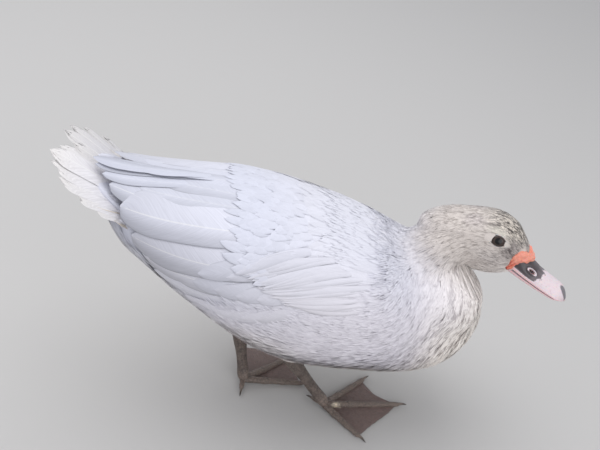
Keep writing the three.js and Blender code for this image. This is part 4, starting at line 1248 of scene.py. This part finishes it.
def scaled_skin(name, pale, dark, creased, joints):
    """Leg skin: small plates from a Voronoi pattern on the piece's own map, with darker joints."""
    material = new_finish(name, 0.5, Coat_Weight=0.12, Coat_Roughness=0.4, Subsurface_Weight=0.06,
                          Subsurface_Scale=0.002)
    cells = node(material, "TexVoronoi", Vector=node(material, "UVMap", uv_map="scales"),
                 feature="DISTANCE_TO_EDGE", Scale=1.0, Randomness=0.75)
    joint = ranged(material, cells, high=0.16, interpolation_type="SMOOTHSTEP")
    tone, patch, _ = mask_nodes(material, "skin_tone", 160.0, (0.8, 0.7))
    colour = tinted(material, dark, [(tone, 0.35, 1.0, pale), (patch, 0.75, 1.1, creased)])
    raised = node(material, "Math", noise_on(material, 1500.0, 3.0), 0.2, joint, operation="MULTIPLY_ADD")
    coat(material, scaled_by(material, colour, ranged(material, joint, to_low=joints)), raised, 0.7, 0.0005)
    return material


leg_finish = scaled_skin("leg_skin", [132, 117, 108], [80, 69, 64], [222, 208, 186], 0.5)
web_finish = scaled_skin("web_skin", [122, 103, 98], [88, 73, 70], [222, 208, 186], 0.84)


def leg_piece(name, rings, scales, tones, finish=leg_finish):
    """One closed piece of leg skin with its scale map in plates and its two tone masks."""
    piece = tube_piece(name, rings, finish, scales=scales)
    marked(piece, "skin_tone", *tones)
    return piece


for side, leg in LEGS.items():
    ankle, heel = np.array([*leg["stand"], ANKLE_HEIGHT], float), np.array(leg["heel"], float)
    run, around = ring_grid(np.linspace(SHANK_FROM, SHANK_TO, 80), 48)
    row = along(SHANK, run)
    down = unit(ankle - heel)
    across = unit(np.cross(down, [np.cos(leg["heading"] * DEGREE), np.sin(leg["heading"] * DEGREE), 0]))
    deep = np.cross(across, down)
    cap = round_end(run + 0.251, 0.08) * round_end(1.021 - run, 0.05)
    plates = 0.22 * np.abs(np.sin(run * SHANK_PLATES * np.pi / 2)) * smooth_step(0.2, 0.9, np.sin(around))
    rings = heel + (ankle - heel) * run[..., None] \
        + across * (np.cos(around) * (row[..., 0] + plates) * cap)[..., None] \
        + deep * (np.sin(around) * (row[..., 1] + plates) * cap)[..., None]
    shank = leg_piece(f"shank_{side}", rings, (14, 22), [0.25 + 0.5 * smooth_step(0.75, 1, run)])
    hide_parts(f"shank_{side}")

# The feet are webbed: three long toes forward, joined by thin skin that sags a little between them,
# and a short hind toe. Toes are jointed and scaled above; the web is a thin sheet with fine creases.
TOES = [("outer", -54, 50), ("middle", 0, 86), ("inner", 33, 66)]  # name, angle in degrees, length
HIND = ("hind", 135, 13)
TOE_THICK, HIND_THICK, TOE_PLATE, TOE_COLUMNS = 3.3, 2.7, 2.6, 36
TOE_JOINTS, TOE_PLACES = (0.36, 0.66, 0.9), [0, 0.3, 0.65, 1]
TOE_TURNS, TOE_ENDS = np.array([toe[1] for toe in TOES], float), np.array([toe[2] for toe in TOES], float)
WEB_FROM, WEB_THICK, WEB_REACH, WEB_SAG = 4, 0.8, 0.95, 0.10 + 0.05


def web_edge(angle):
    """How far the web reaches at an angle: between the toes' ends, drawn in midway by the sag."""
    k = np.clip(np.searchsorted(TOE_TURNS, angle, side="right") - 1, 0, len(TOES) - 2)
    t = np.clip((angle - TOE_TURNS[k]) / (TOE_TURNS[k + 1] - TOE_TURNS[k]), 0, 1)
    end = TOE_ENDS[k] + (TOE_ENDS[k + 1] - TOE_ENDS[k]) * t
    return end * (WEB_REACH - WEB_SAG * np.sin(np.pi * t)) \
        - 0.6 * np.abs(np.sin(7 * np.pi * t)) * np.sin(np.pi * t)


def toe_rings(length, thick):
    """A toe along x from the ankle: radius swells at its joints, flattened on the sole, its top plated."""
    run, around = ring_grid(np.linspace(0, 1, 90), TOE_COLUMNS)
    x = -2 + (length + 2) * run
    joints = sum(np.exp(-((run - at) / 0.05) ** 2) for at in TOE_JOINTS)
    radius = thick * np.interp(run, TOE_PLACES, [1.32, 1.02, 0.88, 0.68]) * (1 + 0.16 * joints)
    radius = radius * round_end(x + 2.02, 3) * round_end(length + 0.02 - x, 3.2)
    middle = SOLE * np.interp(run, TOE_PLACES, [2.6, 1.7, 1.3, 1.05])
    plates = 0.16 * np.abs(np.sin(x * np.pi / TOE_PLATE)) * smooth_step(0.3, 0.9, np.sin(around))
    z = middle + np.sin(around) * (radius + plates) * np.where(np.sin(around) < 0, 0.95, 0.92)
    return np.stack([x, np.cos(around) * radius, np.maximum(z, 0.02)], -1), run


def stood(points, leg, turn):
    """Points of a toe or web turned about the ankle and set down where the foot stands."""
    a = (leg["heading"] + turn) * DEGREE
    x, y, z = np.moveaxis(points, -1, 0)
    return np.stack([leg["stand"][0] + x * np.cos(a) - y * np.sin(a),
                     leg["stand"][1] + x * np.sin(a) + y * np.cos(a), z], -1)


claw_finish = new_finish("claw_horn", 0.35, Coat_Weight=0.4, Coat_Roughness=0.2)
tip_mask, _ = mask_nodes(claw_finish, "horn", 700.0, (0.4,))
coat(claw_finish, tinted(claw_finish, [120, 106, 96], [(tip_mask, 0.4, 1.1, [54, 46, 42])]))
for side, leg in LEGS.items():
    mirror = 1 if side == "right" else -1
    for name, turn, length in [*TOES, HIND]:
        rings, run = toe_rings(length, HIND_THICK if name == "hind" else TOE_THICK)
        if name == "hind":
            rings[..., 2] += 1.6 * np.sin(np.clip(run, 0, 1) * np.pi)
        blaze = 0.7 * bell(run, 0.16, 0.1) * smooth_step(0.2, -0.4, np.cos(np.arange(36) / 18 * np.pi))
        blaze = blaze * (name == "middle")
        leg_piece(f"toe_{name}_{side}", stood(rings, leg, mirror * turn), (11, length / TOE_PLATE),
                  [0.5 + 0.3 * run, np.maximum(0.3 * run ** 2, blaze * mirror)])
        run, around = ring_grid(np.linspace(0, 1, 26), 20)
        radius = 2.0 * (1 - run) ** 0.55 * round_end(run + 0.02, 0.12)
        x = length - 3.5 + 12 * run
        z = SOLE * 1.05 + 1.2 * np.sin(run * np.pi * 0.9) * 0.9 - 1.3 * run ** 2
        claw = np.stack([x, np.cos(around) * radius * 0.8, np.maximum(z + np.sin(around) * radius, 0.05)], -1)
        piece = tube_piece(f"nail_{name}_{side}", stood(claw, leg, mirror * turn), claw_finish)
        marked(piece, "horn", run)
        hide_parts(f"claw_{name}_{side}")
    reach, angle = np.meshgrid(np.linspace(0, 1, 60), np.linspace(TOE_TURNS[0], TOE_TURNS[-1], 110),
                               indexing="ij")
    x = WEB_FROM + (web_edge(angle) - WEB_FROM) * reach
    sag = np.sin(np.pi * np.interp(angle, TOE_TURNS, [0, 1, 2]) % np.pi)
    creases = 0.10 * np.sin(x * 1.7 + 3 * np.sin(angle / 4)) + 0.16 * np.sin(x * 0.55 + angle / 3)
    height = 1.3 + 3.4 * (1 - reach) ** 2 * (1 - 0.4 * sag) + creases * sag
    top = np.stack([x * np.cos(angle * DEGREE), x * np.sin(angle * DEGREE), height + 0.35], -1)
    sheet = np.concatenate([top, (top - [0, 0, WEB_THICK])[:, ::-1]], axis=1)
    patch = np.exp(-((x - 15) / 9) ** 2 - ((angle + 8) / 11) ** 2) * (mirror == 1)
    tones = [np.concatenate([tone, tone[:, ::-1]], axis=1) for tone in (0.3 + 0.4 * reach, 0.72 * patch)]
    web = leg_piece(f"web_{side}", stood(sheet * [1, mirror, 1], leg, 0), (64, 9), tones, web_finish)
    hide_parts(f"foot_{side}")

# The floor is a plain pale sheet, and the light is one wide soft sky with a window to the left.
FLOOR_SIZE = 3.0
floor_mesh = bpy.data.meshes.new("floor")
floor_mesh.from_pydata([(x * FLOOR_SIZE, y * FLOOR_SIZE, 0) for x, y in [(-1, -1), (1, -1), (1, 1), (-1, 1)]],
                       [], [(0, 1, 2, 3)])
floor = in_scene("floor", floor_mesh)
paper = new_finish("pale_floor", 0.9)
coat(paper, (0.52, 0.51, 0.50, 1))
floor_mesh.materials.append(paper)

LIGHTS = [  # name, power in watts, size, where it stands, in metres
    ["sky_panel", 16.5, 1.6, (-0.45, 0.3, 1.6)],
    ["window", 5.5, 1.2, (0.5, -1.3, 0.7)],
]
LIT_POINT = [0, 0, 0.15]
for name, power, size, stand in LIGHTS:
    aim = unit(np.array(stand) - LIT_POINT)
    sideways = unit(np.cross([0, 1, 0.01], aim))
    lamp = in_scene(name, bpy.data.lights.new(name, "AREA"), [sideways, np.cross(aim, sideways), aim], stand)
    lamp.data.energy = power
    lamp.data.size = size
sky = bpy.data.worlds.new("studio")
sky.use_nodes = True
sky.node_tree.nodes["Background"].inputs["Color"].default_value = (0.93, 0.95, 1.0, 1)
sky.node_tree.nodes["Background"].inputs["Strength"].default_value = 0.72
bpy.context.scene.world = sky
bpy.context.scene.view_settings.view_transform = "Standard"
